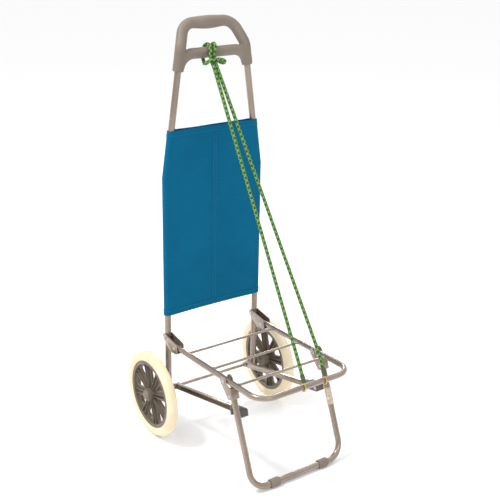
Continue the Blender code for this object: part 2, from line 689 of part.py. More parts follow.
SPOKE_PHASE = {"left": -60.5, "right": 77.5}
for side, sign in SIGN.items():
    centre = Vector((sign * WHEEL_X, AXLE_Y, AXLE_Z))
    tyre_section = wheel_profile(TYRE_WIDTH, TYRE_RADIUS, RIM_RADIUS, 0.0085)
    place(turned(side + "_tyre", tyre_section, WHEEL_STEPS, centre, closed=True), TYRE_CREAM)

    hub_section = [(AXLE_RADIUS + GAP, 0.0155), (0.0150, 0.0155), (0.0165, 0.0100), (0.0165, 0.0015),
                   (0.0738, 0.0015), (0.0738, 0.0098), (RIM_RADIUS - GAP, 0.0098), (RIM_RADIUS - GAP, -0.0098),
                   (0.0738, -0.0098), (0.0738, -0.0015), (0.0165, -0.0015), (0.0165, -0.0200),
                   (0.0110, -0.0280), (AXLE_RADIUS + GAP, -0.0280)]
    hub = turned(side + "_wheel_hub", hub_section, WHEEL_STEPS, centre, outward=sign, closed=True)
    spokes = spoke_guides(side + "_spokes", centre, SPOKE_PHASE[side],
                          lambda: box((-0.0085, -0.0052, 0.0150), (0.0085, 0.0052, 0.0755)))
    windows = spoke_guides(side + "_windows", centre, SPOKE_PHASE[side] + 180.0 / SPOKES, spoke_window)
    join(hub, spokes)
    place(cut(hub, windows), MOULDED)

    cap_profile = [(0.0, 0.0062), (0.0080, 0.0058), (CAP_RADIUS, 0.0030), (CAP_RADIUS, 0.0),
                   (AXLE_RADIUS + GAP, 0.0), (AXLE_RADIUS + GAP, 0.0042), (0.0, 0.0042)]
    cap_x = sign * (WHEEL_X + 0.0155 + GAP + 0.0002)
    place(turned(side + "_axle_cap", cap_profile, 20, (cap_x, AXLE_Y, AXLE_Z), outward=sign), MOULDED)

    gap_from, gap_to = FRAME_X + UPRIGHT_RADIUS + GAP, WHEEL_X - 0.0280 - GAP
    half = (gap_to - gap_from) / 2
    bush = [(0.0085, half), (0.0085, -half), (AXLE_RADIUS + GAP, -half), (AXLE_RADIUS + GAP, half)]
    place(turned(side + "_wheel_spacer", bush, 14, (sign * (gap_from + gap_to) / 2, AXLE_Y, AXLE_Z), closed=True),
          MOULDED)

# ---------------------------------------------------------------- bungee: hitch, strands, ferrules and hooks
CROSS_BAR_Y = upright_y(CROSS_BAR_Z)


def round_bar(x, angle, distance):
    """A point near the handle's cross bar: 0 degrees is in front of it, 90 degrees on top."""
    turn = math.radians(angle)
    return Vector((HITCH_X + x, CROSS_BAR_Y - distance * math.cos(turn), CROSS_BAR_Z + distance * math.sin(turn)))


HOOK_RING = RAIL_RADIUS + 0.0004 + HOOK_WIRE
strand_top = {side: round_bar(x, -38.0, 0.0405) for side, x in STRAND_X.items()}
hang = Vector((0.0, strand_top["left"].y - FRONT_BAR.y + 0.008, strand_top["left"].z - FRONT_BAR.z)).normalized()
HANG_ANGLE = math.atan2(hang.z, hang.y)


def hook_point(side, angle, away=HOOK_RING, up=0.0):
    """A point about the deck's front bar, at an angle from +Y towards +Z, moved up along the strand."""
    return Vector((HOOK_X[side], FRONT_BAR.y + away * math.cos(angle), FRONT_BAR.z + away * math.sin(angle))) + hang * up


# Where the looped cord passes, from the left strand round the bar to the right one: X, degrees, distance.
HITCH_KNOTS = ((-0.0165, -38.0, 0.0405), (-0.0165, -24.0, 0.0232), (-0.0140, 8.0, 0.0180),
               (-0.0110, 50.0, 0.0178), (-0.0095, 95.0, 0.0178), (-0.0100, 140.0, 0.0178),
               (-0.0115, 185.0, 0.0178), (-0.0150, 228.0, 0.0180), (-0.0200, 268.0, 0.0200),
               (-0.0270, 304.0, 0.0262), (-0.0262, 330.0, 0.0325), (-0.0190, 339.0, 0.0340),
               (-0.0085, 340.0, 0.0348), (0.0030, 339.0, 0.0350), (0.0150, 330.0, 0.0345),
               (0.0200, 304.0, 0.0290), (0.0175, 268.0, 0.0215), (0.0130, 228.0, 0.0182),
               (0.0105, 185.0, 0.0178), (0.0090, 140.0, 0.0178), (0.0070, 95.0, 0.0178),
               (0.0025, 50.0, 0.0178), (-0.0030, 8.0, 0.0180), (-0.0080, -24.0, 0.0232),
               (-0.0080, -38.0, 0.0405))
hitch_route = smooth_route([round_bar(*knot) for knot in HITCH_KNOTS], 0.0085)
place(sweep("bungee_hitch", hitch_route, CORD_RADIUS, 2), CORD)

for side in SIGN:
    shank = hook_point(side, HANG_ANGLE + math.pi / 2)
    ferrule_foot = shank + hang * 0.010
    ferrule_top = ferrule_foot + hang * FERRULE_LENGTH
    ferrule_profile = [(0.0, FERRULE_LENGTH), (FERRULE_RADIUS - 0.001, FERRULE_LENGTH),
                       (FERRULE_RADIUS, FERRULE_LENGTH - 0.001), (FERRULE_RADIUS - 0.0007, FERRULE_LENGTH / 2),
                       (FERRULE_RADIUS, 0.002), (FERRULE_RADIUS - 0.0012, 0.0), (0.0, 0.0)]
    ferrule = turned(side + "_ferrule", ferrule_profile, 14, ferrule_foot)
    ferrule.rotation_euler = Vector((0.0, 0.0, 1.0)).rotation_difference(hang).to_euler()
    place(ferrule, CRIMP)

    wire = [shank + hang * (0.010 - GAP), shank + hang * 0.004]
    wire += [hook_point(side, HANG_ANGLE + math.pi / 2 + math.radians(angle)) for angle in range(0, 181, 15)]
    wire.append(hook_point(side, HANG_ANGLE + 1.5 * math.pi, up=0.004))
    place(sweep(side + "_hook", wire, HOOK_WIRE, 2), BRASS)

    start = strand_top[side]
    first = (ferrule_top - start).normalized()
    entry = (start - round_bar(STRAND_X[side], -24.0, 0.0232)).normalized()
    end = ferrule_top + hang * GAP
    knots = [start + entry * GAP, start + entry * 0.012 + first * 0.004]
    bend = end + hang * 0.03
    knots += [knots[1].lerp(bend, share) for share in (0.25, 0.5, 0.75)] + [bend, end]
    place(sweep(side + "_strand", smooth_route(knots, 0.021), CORD_RADIUS, 2), CORD)
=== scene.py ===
import math

import bmesh
import bpy
from mathutils import Matrix, Vector


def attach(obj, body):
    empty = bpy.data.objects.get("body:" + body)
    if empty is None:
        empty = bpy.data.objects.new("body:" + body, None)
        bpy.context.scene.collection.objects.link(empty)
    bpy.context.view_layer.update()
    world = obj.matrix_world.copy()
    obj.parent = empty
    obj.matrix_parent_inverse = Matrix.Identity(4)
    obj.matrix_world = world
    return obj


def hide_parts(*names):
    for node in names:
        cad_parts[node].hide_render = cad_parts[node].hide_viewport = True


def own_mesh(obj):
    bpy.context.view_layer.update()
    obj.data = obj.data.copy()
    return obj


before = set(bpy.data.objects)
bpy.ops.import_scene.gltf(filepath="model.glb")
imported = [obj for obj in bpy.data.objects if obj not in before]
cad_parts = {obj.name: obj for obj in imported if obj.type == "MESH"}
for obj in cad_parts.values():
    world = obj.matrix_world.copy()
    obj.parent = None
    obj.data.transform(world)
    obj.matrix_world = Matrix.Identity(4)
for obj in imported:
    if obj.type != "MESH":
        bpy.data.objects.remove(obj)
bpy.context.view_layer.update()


# ---------------------------------------------------------------- camera, floor and light
# A long portrait lens looks at the cart from its front left, a little above it.
# The floor is a wide plain pale sheet, lit by three soft boxes and a bright ceiling.
def new_object(name, data):
    """A new object in the scene, at the origin."""
    obj = bpy.data.objects.new(name, data)
    bpy.context.scene.collection.objects.link(obj)
    return obj


def aimed(place, aim):
    """The placement of something that stands at a place and looks at another."""
    turn = (Vector(aim) - Vector(place)).to_track_quat("-Z", "Y").to_matrix().to_4x4()
    return Matrix.Translation(place) @ turn


CAMERA_ROLL = 0.287
camera_data = bpy.data.cameras.new("camera")
camera_data.sensor_width = 36.0
camera_data.lens = 70.3
camera_data.shift_x = -0.0076
camera_data.shift_y = -0.0362
camera = new_object("camera", camera_data)
camera.matrix_world = (aimed((-1.1920, -1.7088, 1.2374), (0.1258, 0.1403, 0.4581))
                       @ Matrix.Rotation(math.radians(CAMERA_ROLL), 4, "Z"))
bpy.context.scene.camera = camera
bpy.context.scene.view_settings.view_transform = "Standard"

for name, place, aim, size, power in (
        ("key_light", (-1.5, 0.5, 2.9), (0.0, 0.0, 0.3), 0.5, 45.0),
        ("back_light", (1.5, 2.2, 1.5), (0.0, 0.0, 0.25), 0.5, 12.0),
        ("front_light", (-0.6, -3.2, 1.9), (0.0, 0.0, 0.5), 1.2, 14.0)):
    lamp = bpy.data.lights.new(name, "AREA")
    lamp.shape = "SQUARE"
    lamp.size = size
    lamp.energy = power
    new_object(name, lamp).matrix_world = aimed(place, aim)


def node_maker(tree):
    """A function that adds a node to the tree, with its settings and its sockets' values."""
    def make(kind, values=None, **settings):
        node = tree.nodes.new(kind)
        for key, value in settings.items():
            setattr(node, key, value)
        for key, value in (values or {}).items():
            node.inputs[key].default_value = value
        return node

    return make


# The ceiling is brighter than the horizon, and the backdrop that the camera sees is plain white.
world = bpy.data.worlds.new("studio")
world.use_nodes = True
make, link = node_maker(world.node_tree), world.node_tree.links.new
background = world.node_tree.nodes["Background"]
sky_place = make("ShaderNodeTexCoord")
sky_split = make("ShaderNodeSeparateXYZ")
sky_fade = make("ShaderNodeMapRange", {"To Min": 0.45, "To Max": 1.32})
sky_seen = make("ShaderNodeLightPath")
sky_strength = make("ShaderNodeMath", operation="MAXIMUM")
link(sky_place.outputs["Generated"], sky_split.inputs[0])
link(sky_split.outputs["Z"], sky_fade.inputs["Value"])
link(sky_fade.outputs["Result"], sky_strength.inputs[0])
link(sky_seen.outputs["Is Camera Ray"], sky_strength.inputs[1])
link(sky_strength.outputs["Value"], background.inputs["Strength"])
background.inputs["Color"].default_value = (1.0, 1.0, 1.0, 1.0)
bpy.context.scene.world = world


def new_material(name, roughness, metallic=0.0):
    """A node material: returns it, its Principled shader, a node maker and a linker."""
    material = bpy.data.materials.new(name)
    material.use_nodes = True
    shader = material.node_tree.nodes["Principled BSDF"]
    shader.inputs["Roughness"].default_value = roughness
    shader.inputs["Metallic"].default_value = metallic
    return material, shader, node_maker(material.node_tree), material.node_tree.links.new


def ramp_of(make, dark, light, low=0.0, high=1.0):
    """A colour ramp from dark at low to light at high."""
    ramp = make("ShaderNodeValToRGB")
    for element, position, colour in zip(ramp.color_ramp.elements, (low, high), (dark, light)):
        element.position = position
        element.color = (*colour, 1.0)
    return ramp


FLOOR_NEAR, FLOOR_FAR = -30.0, 60.0
floor_mesh = bpy.data.meshes.new("floor")
floor_mesh.from_pydata([(FLOOR_NEAR, FLOOR_NEAR, 0), (FLOOR_FAR, FLOOR_NEAR, 0),
                        (FLOOR_FAR, FLOOR_FAR, 0), (FLOOR_NEAR, FLOOR_FAR, 0)], [], [(0, 1, 2, 3)])
floor = new_object("floor", floor_mesh)
floor.location.z = -0.0005
floor_material, floor_shader, make, link = new_material("pale_floor", 0.75)
floor_noise = make("ShaderNodeTexNoise", {"Scale": 1.5})
floor_ramp = ramp_of(make, (0.93, 0.93, 0.94), (0.96, 0.96, 0.96))
link(floor_noise.outputs["Fac"], floor_ramp.inputs["Fac"])
link(floor_ramp.outputs["Color"], floor_shader.inputs["Base Color"])
floor_mesh.materials.append(floor_material)

# ---------------------------------------------------------------- elastic cord
# One green braided elastic cord with light tracer yarns, 8 mm thick.  Its middle is hitched round
# the handle's cross bar with a cow hitch, and its two strands run tight to the deck's front bar.
AXLE = Vector((0.0, 0.140331, 0.105))
FRAME_LEAN = 0.0225
HINGE_Z = 0.2455
DECK_TILT = math.radians(1.1)
DECK_REACH = 0.376
CROSS_BAR_Z = 0.9115
CORD_RADIUS = 0.004
HITCH_X = -0.005


def upright_y(z):
    """Y of the uprights' middle line at height z: they lean forward a little."""
    return AXLE.y - FRAME_LEAN * (z - AXLE.z)


HINGE = Vector((0.0, upright_y(HINGE_Z), HINGE_Z))


def deck(x, distance, height=-0.0148):
    """A point of the deck: distance in front of its hinge pins, and height above them."""
    along = math.cos(DECK_TILT) * distance - math.sin(DECK_TILT) * height
    up = math.sin(DECK_TILT) * distance + math.cos(DECK_TILT) * height
    return Vector((x, HINGE.y - along, HINGE.z + up))


def smooth_route(knots, spacing):
    """Evenly spaced points on a smooth curve through the knots."""
    padded = [2 * knots[0] - knots[1]] + list(knots) + [2 * knots[-1] - knots[-2]]
    fine = []
    for a, b, c, d in zip(padded, padded[1:], padded[2:], padded[3:]):
        for step in range(24):
            t = step / 24.0
            fine.append(0.5 * (2 * b + (c - a) * t + (2 * a - 5 * b + 4 * c - d) * t * t
                               + (3 * b - a - 3 * c + d) * t ** 3))
    fine.append(knots[-1].copy())
    lengths = running_lengths(fine)
    count = max(2, round(lengths[-1] / spacing))
    route, index = [], 0
    for number in range(count + 1):
        target = lengths[-1] * number / count
        while index < len(lengths) - 2 and lengths[index + 1] < target:
            index += 1
        span = lengths[index + 1] - lengths[index]
        route.append(fine[index].lerp(fine[index + 1], (target - lengths[index]) / span))
    return route


def running_lengths(points):
    """The length walked to each of a run of points."""
    lengths = [0.0]
    for start, end in zip(points, points[1:]):
        lengths.append(lengths[-1] + (end - start).length)
    return lengths


def ring_of(shape, centre, across, other, radius, sides):
    """A ring of vertices about a centre, in the plane of two directions."""
    return [shape.verts.new(centre + (across * math.cos(2 * math.pi * turn / sides)
                                      + other * math.sin(2 * math.pi * turn / sides)) * radius)
            for turn in range(sides)]


def mesh_from(shape, name, turn_out=True):
    """The mesh of a finished shape, with its faces turned outwards."""
    if turn_out:
        bmesh.ops.recalc_face_normals(shape, faces=shape.faces)
    mesh = bpy.data.meshes.new(name)
    shape.to_mesh(mesh)
    shape.free()
    return mesh


def skin(shape, stations, directions, sides):
    """A closed round skin through (point, radius) stations, each ring square to its direction."""
    across = directions[0].orthogonal().normalized()
    rings = []
    for (point, radius), direction in zip(stations, directions):
        across = (across - direction * across.dot(direction)).normalized()
        rings.append(ring_of(shape, point, across, direction.cross(across), radius, sides))
    for lower, upper in zip(rings, rings[1:]):
        for turn in range(sides):
            nxt = (turn + 1) % sides
            shape.faces.new((lower[turn], lower[nxt], upper[nxt], upper[turn]))
    shape.faces.new(list(reversed(rings[0])))
    shape.faces.new(rings[-1])


def sweep(stations, sides=24):
    """A round skin along (point, radius) stations; its UV map is turns round and metres along."""
    points = [point for point, radius in stations]
    directions = []
    for index in range(len(points)):
        step = points[min(index + 1, len(points) - 1)] - points[max(index - 1, 0)]
        directions.append(step.normalized() if step.length > 1e-7 else None)
    for index, direction in enumerate(directions):
        if direction is None:
            directions[index] = directions[index - 1] if index else None
            directions[index] = directions[index] or Vector((0, 0, 1))
    shape = bmesh.new()
    uv = shape.loops.layers.uv.new("UVMap")
    skin(shape, stations, directions, sides)
    shape.faces.ensure_lookup_table()
    walked = running_lengths(points)
    for index, (low, high) in enumerate(zip(walked, walked[1:])):
        for turn in range(sides):
            corners = ((turn, low), (turn + 1, low), (turn + 1, high), (turn, high))
            for loop, (u, v) in zip(shape.faces[index * sides + turn].loops, corners):
                loop[uv].uv = (u / sides, v)
    return mesh_from(shape, "sweep")


def piece(name, mesh, material, body, nodes, smooth_angle=40.0):
    """A finished mesh as a piece at the origin, with its material and body; the CAD nodes it stands
    for are hidden.
    """
    mesh.name = name
    mesh.materials.clear()
    mesh.materials.append(material)
    mesh.shade_smooth()
    mesh.set_sharp_from_angle(angle=math.radians(smooth_angle))
    obj = new_object(name, mesh)
    for node in ([nodes] if isinstance(nodes, str) else nodes):
        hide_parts(node)
    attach(obj, body)
    return obj


def new_group(name, inputs, outputs):
    """A shader node group.  An input of None is a vector; the others and the outputs are numbers."""
    group = bpy.data.node_groups.new(name, "ShaderNodeTree")
    for label, value in inputs.items():
        kind = "NodeSocketVector" if value is None else "NodeSocketFloat"
        socket = group.interface.new_socket(label, in_out="INPUT", socket_type=kind)
        if value is not None:
            socket.default_value = value
    for label in outputs:
        group.interface.new_socket(label, in_out="OUTPUT", socket_type="NodeSocketFloat")
    make, link = node_maker(group), group.links.new
    start, end = make("NodeGroupInput"), make("NodeGroupOutput")

    def maths(operation, first, second=None):
        node = make("ShaderNodeMath", operation=operation)
        for socket, value in zip(node.inputs, (first, second)):
            if isinstance(value, (int, float)):
                socket.default_value = value
            elif value is not None:
                link(value, socket)
        return node.outputs[0]

    return group, start, end, make, link, maths


def relief(make, link, shader, height, strength, distance):
    """A bump on the shader from a height."""
    bump = make("ShaderNodeBump", {"Strength": strength, "Distance": distance})
    link(height, bump.inputs["Height"])
    link(bump.outputs["Normal"], shader.inputs["Normal"])


# Braid: crossing diagonal yarns round a cord, read from turns round and metres along. Its Shade
# output darkens the low places between the yarns, which is painted shade.
braid, start, end, make, link, maths = new_group(
    "braided_cover", {"Vector": None, "Yarns": 8.0, "Lay": 0.0085}, ("Height", "Tracer", "Shade"))
split = make("ShaderNodeSeparateXYZ")
link(start.outputs["Vector"], split.inputs[0])
around = maths("MULTIPLY", split.outputs["X"], start.outputs["Yarns"])
forward = maths("MULTIPLY", maths("DIVIDE", split.outputs["Y"], start.outputs["Lay"]), 3.0)
yarns = [maths("ADD", around, forward), maths("SUBTRACT", around, forward)]
waves = [maths("SINE", maths("MULTIPLY", yarn, 2.0 * math.pi)) for yarn in yarns]
height = maths("MULTIPLY", maths("ADD", maths("MULTIPLY", *waves), 1.0), 0.5)
tracers = [maths("GREATER_THAN", maths("SINE", maths("MULTIPLY", yarn, 0.5 * math.pi)), 0.75)
           for yarn in yarns]
tracer = maths("MULTIPLY", maths("MAXIMUM", *tracers), maths("GREATER_THAN", height, 0.45))
link(height, end.inputs["Height"])
link(tracer, end.inputs["Tracer"])
# Shade: the low places between the yarns are made darker, a painted shade in the braid's grooves.
link(maths("POWER", height, 0.6), end.inputs["Shade"])

cord_material, cord_shader, make, link = new_material("green_braid", 0.78)
cord_shader.inputs["Specular IOR Level"].default_value = 0.2
cord_uv = make("ShaderNodeUVMap", uv_map="UVMap")
cord_braid = make("ShaderNodeGroup", node_tree=braid)
# The cord's green runs darker into the braid's grooves: painted shade, with the light tracer yarns
# mixed over it.
cord_painted_shade_ramp = ramp_of(make, (0.010, 0.042, 0.006), (0.050, 0.185, 0.028))
cord_mix = make("ShaderNodeMix", {"B": (0.40, 0.60, 0.22, 1.0)}, data_type="RGBA")
link(cord_uv.outputs["UV"], cord_braid.inputs["Vector"])
link(cord_braid.outputs["Shade"], cord_painted_shade_ramp.inputs["Fac"])
link(cord_braid.outputs["Tracer"], cord_mix.inputs["Factor"])
link(cord_painted_shade_ramp.outputs["Color"], cord_mix.inputs["A"])
link(cord_mix.outputs["Result"], cord_shader.inputs["Base Color"])
relief(make, link, cord_shader, cord_braid.outputs["Height"], 0.8, 0.0006)

CROSS_BAR = Vector((0.0, upright_y(CROSS_BAR_Z), CROSS_BAR_Z))
FRONT_BAR = deck(0.0, DECK_REACH)


def round_bar(x, angle, distance):
    """A point near the handle's cross bar: 0 degrees is in front of it, 90 degrees on top."""
    turn = math.radians(angle)
    return Vector((x + HITCH_X, CROSS_BAR.y - distance * math.cos(turn),
                   CROSS_BAR.z + distance * math.sin(turn)))


hitch_knots = ((-0.0165, -38.0, 0.0405), (-0.0165, -24.0, 0.0232), (-0.0140, 8.0, 0.0180),
               (-0.0110, 50.0, 0.0178), (-0.0095, 95.0, 0.0178), (-0.0100, 140.0, 0.0178),
               (-0.0115, 185.0, 0.0178), (-0.0150, 228.0, 0.0180), (-0.0200, 268.0, 0.0200),
               (-0.0270, 304.0, 0.0262), (-0.0262, 330.0, 0.0325), (-0.0190, 339.0, 0.0340),
               (-0.0085, 340.0, 0.0348), (0.0030, 339.0, 0.0350), (0.0150, 330.0, 0.0345),
               (0.0200, 304.0, 0.0290), (0.0175, 268.0, 0.0215), (0.0130, 228.0, 0.0182),
               (0.0105, 185.0, 0.0178), (0.0090, 140.0, 0.0178), (0.0070, 95.0, 0.0178),
               (0.0025, 50.0, 0.0178), (-0.0030, 8.0, 0.0180), (-0.0080, -24.0, 0.0232),
               (-0.0080, -38.0, 0.0405))
hitch_route = smooth_route([round_bar(*knot) for knot in hitch_knots], 0.0022)
hitch = piece("cord_hitch", sweep([(point, CORD_RADIUS) for point in hitch_route], 20),
              cord_material, "frame", "bungee_hitch")

# ---------------------------------------------------------------- hooks and crimps of the cord
# Each strand ends in a crimped olive ferrule and a hook of bright yellow plated wire, 3.5 mm
# thick, bent over the deck's front bar.  The wire tip has a small rounded end.
grain_and_patches, start, end, make, link, maths = new_group(
    "grain_and_patches", {"Vector": None, "Grain Scale": 900.0, "Patch Scale": 14.0},
    ("Grain", "Patches", "Scuffs"))
grain = make("ShaderNodeTexNoise", {"Detail": 3.0})
patches = make("ShaderNodeTexNoise", {"Detail": 4.0})
scuffs = make("ShaderNodeTexNoise", {"Detail": 8.0, "Roughness": 0.72})
scuff_edge = make("ShaderNodeMapRange", {"From Min": 0.60, "From Max": 0.70})
patch_scale = start.outputs["Patch Scale"]
for node, scale in ((grain, start.outputs["Grain Scale"]), (patches, patch_scale),
                    (scuffs, maths("MULTIPLY", patch_scale, 5.0))):
    link(start.outputs["Vector"], node.inputs["Vector"])
    link(scale, node.inputs["Scale"])
link(grain.outputs["Fac"], end.inputs["Grain"])
link(patches.outputs["Fac"], end.inputs["Patches"])
link(scuffs.outputs["Fac"], scuff_edge.inputs["Value"])
link(scuff_edge.outputs["Result"], end.inputs["Scuffs"])


def finish_of(name, dark, light, roughness, metallic=0.0, grain=900.0, patch=14.0, bump=0.15,
              worn=None, spread=0.12, coat=0.0):
    """A finish with patchy colour, scuffs and fine grain; worn is the colour of scuffed places."""
    material, shader, make, link = new_material(name, roughness, metallic)
    where = make("ShaderNodeTexCoord")
    group = make("ShaderNodeGroup", {"Grain Scale": grain, "Patch Scale": patch},
                 node_tree=grain_and_patches)
    ramp = ramp_of(make, dark, light, 0.30, 0.70)
    mix = make("ShaderNodeMix", {"B": (*(worn or light), 1.0)}, data_type="RGBA")
    rough = make("ShaderNodeMapRange",
                 {"To Min": roughness - spread, "To Max": roughness + spread})
    link(where.outputs["Object"], group.inputs["Vector"])
    link(group.outputs["Patches"], ramp.inputs["Fac"])
    link(group.outputs["Scuffs"], mix.inputs["Factor"])
    link(ramp.outputs["Color"], mix.inputs["A"])
    link(mix.outputs["Result"], shader.inputs["Base Color"])
    link(group.outputs["Patches"], rough.inputs["Value"])
    link(rough.outputs["Result"], shader.inputs["Roughness"])
    relief(make, link, shader, group.outputs["Grain"], bump, 0.0004)
    shader.inputs["Coat Weight"].default_value = coat
    shader.inputs["Coat Roughness"].default_value = 0.12
    return material


hook_material = finish_of("yellow_plated_wire", (0.50, 0.34, 0.09), (0.72, 0.52, 0.20), 0.30, 1.0,
                          patch=60.0)
crimp_material = finish_of("olive_crimp", (0.050, 0.075, 0.022), (0.105, 0.130, 0.050), 0.50, 0.2,
                           patch=80.0)
HOOK_X = {"left": -0.012, "right": 0.046}
STRAND_X = {"left": -0.0165, "right": -0.0080}
WIRE_RADIUS = 0.00172
strand_top = {side: round_bar(x, -38.0, 0.0405) for side, x in STRAND_X.items()}
hang = Vector((0.0, strand_top["left"].y - FRONT_BAR.y + 0.008,
               strand_top["left"].z - FRONT_BAR.z)).normalized()
HOOK_BACK = math.atan2(hang.z, hang.y) + math.pi / 2


def hook_point(side, angle, up=0.0):
    """A point of the bend over the front bar, at an angle from its back, moved up the strand."""
    turn = HOOK_BACK + math.radians(angle)
    return Vector((HOOK_X[side], FRONT_BAR.y + 0.00865 * math.cos(turn),
                   FRONT_BAR.z + 0.00865 * math.sin(turn))) + hang * up


for side in ("left", "right"):
    shank = hook_point(side, 0.0)
    foot, top = shank + hang * 0.010, shank + hang * 0.028
    ferrule_rings = [(0.0, 0.0034), (0.0, 0.0040), (0.0008, 0.0047)]
    for step in range(25):
        share = step / 24
        groove = 0.00045 * (math.cos(share * 8 * math.pi) > 0.1)
        ferrule_rings.append((0.0010 + 0.0160 * share, 0.0046 + groove))
    ferrule_rings += [(0.0172, 0.0049), (0.0179, 0.0044), (0.0179, 0.0040)]
    ferrule = piece("cord_ferrule_" + side,
                    sweep([(foot + hang * up, radius) for up, radius in ferrule_rings], 24),
                    crimp_material, side + "_hook_end", side + "_ferrule")
    wire = [shank + hang * 0.0098, shank + hang * 0.004]
    wire += [hook_point(side, angle) for angle in range(0, 181, 10)]
    wire.append(hook_point(side, 180.0, 0.0034))
    tip = wire[-1] + (wire[-1] - wire[-2]).normalized() * 0.0006
    hook = piece("cord_hook_" + side,
                 sweep([(point, WIRE_RADIUS) for point in wire] + [(tip, 0.0010)], 16),
                 hook_material, side + "_hook_end", side + "_hook")

    cord_start = strand_top[side]
    first = (top - cord_start).normalized()
    entry = (cord_start - round_bar(STRAND_X[side], -24.0, 0.0232)).normalized()
    bend = top + hang * 0.03
    knots = [cord_start + entry * 0.0003, cord_start + entry * 0.012 + first * 0.004]
    knots += [knots[1].lerp(bend, share) for share in (0.25, 0.5, 0.75)]
    knots += [bend, top + hang * 0.0003]
    route = smooth_route(knots, 0.004)
    strand = piece("cord_strand_" + side, sweep([(point, CORD_RADIUS) for point in route], 16),
                   cord_material, "frame", side + "_strand")
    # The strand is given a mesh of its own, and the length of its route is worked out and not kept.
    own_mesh(strand)
    running_lengths(route)[-1]
running_lengths(hitch_route)[-1]

# ---------------------------------------------------------------- uprights
# Two steel tubes, 15 mm across, bent once below the handle so that they run together into it.
# They have the satin taupe paint of the deck and the leg; a plug closes each lower end.
paint = finish_of("taupe_paint", (0.275, 0.212, 0.164), (0.350, 0.275, 0.218), 0.25, 0.60,
                  grain=1400.0, patch=9.0, bump=0.05, worn=(0.40, 0.33, 0.28), spread=0.04,
                  coat=0.80)
moulding = finish_of("taupe_moulding", (0.195, 0.156, 0.122), (0.245, 0.200, 0.160), 0.55,
                     grain=2200.0, patch=16.0, bump=0.22, worn=(0.29, 0.25, 0.205), spread=0.06)
FRAME_X, HANDLE_X = 0.1257, 0.0922
BEND_Z, SOCKET_Z, UPRIGHT_FOOT_Z = 0.638, 0.876, 0.0935
WALL = 0.0012
CUT_EDGE = 0.0003
OPEN_DEPTH = 0.014
SIDES = (("left", -1.0), ("right", 1.0))


def upright_x(z):
    """Half the distance between the uprights at height z."""
    if z <= BEND_Z:
        return FRAME_X
    return FRAME_X + (HANDLE_X - FRAME_X) * (z - BEND_Z) / (SOCKET_Z - BEND_Z)


def on_upright(sign, z):
    """The point of an upright's middle line at height z."""
    return Vector((sign * upright_x(z), upright_y(z), z))


def rounded_path(corners, radius, steps):
    """Straight runs through corner points, with a round bend of one radius at each inner corner."""
    path = [corners[0].copy()]
    for before, corner, after in zip(corners, corners[1:], corners[2:]):
        inward, outward = (before - corner).normalized(), (after - corner).normalized()
        half = inward.angle(outward) / 2.0
        centre = corner + (inward + outward).normalized() * (radius / math.sin(half))
        first = corner + inward * (radius / math.tan(half)) - centre
        last = corner + outward * (radius / math.tan(half)) - centre
        angle = first.angle(last)
        for step in range(steps + 1):
            share = step / steps
            blend = first * math.sin((1 - share) * angle) + last * math.sin(share * angle)
            path.append(centre + blend / math.sin(angle))
    path.append(corners[-1].copy())
    return path


def tube_mesh(path, radius):
    """A steel tube with soft cut edges, hollow for a short way in at both ends."""
    ahead, back = (path[1] - path[0]).normalized(), (path[-2] - path[-1]).normalized()
    bore = radius - WALL
    rim = ((OPEN_DEPTH, bore), (CUT_EDGE, bore), (0.0, bore + CUT_EDGE), (0.0, radius - CUT_EDGE),
           (CUT_EDGE, radius))
    stations = [(path[0] + ahead * depth, ring) for depth, ring in rim]
    stations += [(point, radius) for point in path[1:-1]]
    stations += [(path[-1] + back * depth, ring) for depth, ring in reversed(rim)]
    directions = [ahead] * len(rim)
    directions += [(after - before).normalized() for before, after in zip(path, path[2:])]
    directions += [-back] * len(rim)
    shape = bmesh.new()
    skin(shape, stations, directions, 28)
    return mesh_from(shape, "tube")


def turned(profile, steps, centre, axis=(1.0, 0.0, 0.0), closed=False):
    """A turned shape about an axis through centre, from (radius, height) pairs; 0 makes a pole."""
    axis = Vector(axis).normalized()
    across = axis.orthogonal().normalized()
    other = axis.cross(across)
    shape = bmesh.new()
    rings = []
    for radius, height in profile:
        middle = Vector(centre) + axis * height
        rings.append([shape.verts.new(middle)] if radius < 1e-6 else
                     ring_of(shape, middle, across, other, radius, steps))
    pairs = list(zip(rings, rings[1:])) + ([(rings[-1], rings[0])] if closed else [])
    for lower, upper in pairs:
        for turn in range(steps):
            nxt = (turn + 1) % steps
            corners = [lower[turn % len(lower)], lower[nxt % len(lower)],
                       upper[nxt % len(upper)], upper[turn % len(upper)]]
            corners = [corner for index, corner in enumerate(corners)
                       if corner not in corners[:index]]
            if len(corners) > 2:
                shape.faces.new(corners)
    return mesh_from(shape, "turned")


plug_profile = [(0.0, 0.0066), (0.0042, 0.0066), (0.0042, 0.0), (0.0070, -0.0003),
                (0.0074, -0.0007), (0.0074, -0.0016), (0.0066, -0.0028), (0.0050, -0.0034),
                (0.0, -0.0035)]
for side, sign in SIDES:
    corners = [on_upright(sign, z) for z in (UPRIGHT_FOOT_Z, BEND_Z, 0.926)]
    piece(side + "_upright_tube", tube_mesh(rounded_path(corners, 0.14, 8), 0.0075), paint,
          "frame", side + "_upright")
    plug_place = (sign * FRAME_X, upright_y(UPRIGHT_FOOT_Z), UPRIGHT_FOOT_Z - 0.0005)
    piece(side + "_end_plug", turned(plug_profile, 24, plug_place, (0.0, FRAME_LEAN, 1.0)),
          moulding, "frame", side + "_tube_plug")

# ---------------------------------------------------------------- handle
# One moulding of matt taupe plastic: an arched grip over a cross bar, with a socket for each
# upright.  The grip is thickest in its middle, and the bars flow into each other.
GRIP_TOP = 0.9755
GRIP_LEAN, GRIP_LEAN_Z = 0.47, 0.925
BAR_RADIUS, GRIP_SWELL = 0.0124, 0.0026
SOCKET_RADIUS = 0.0078


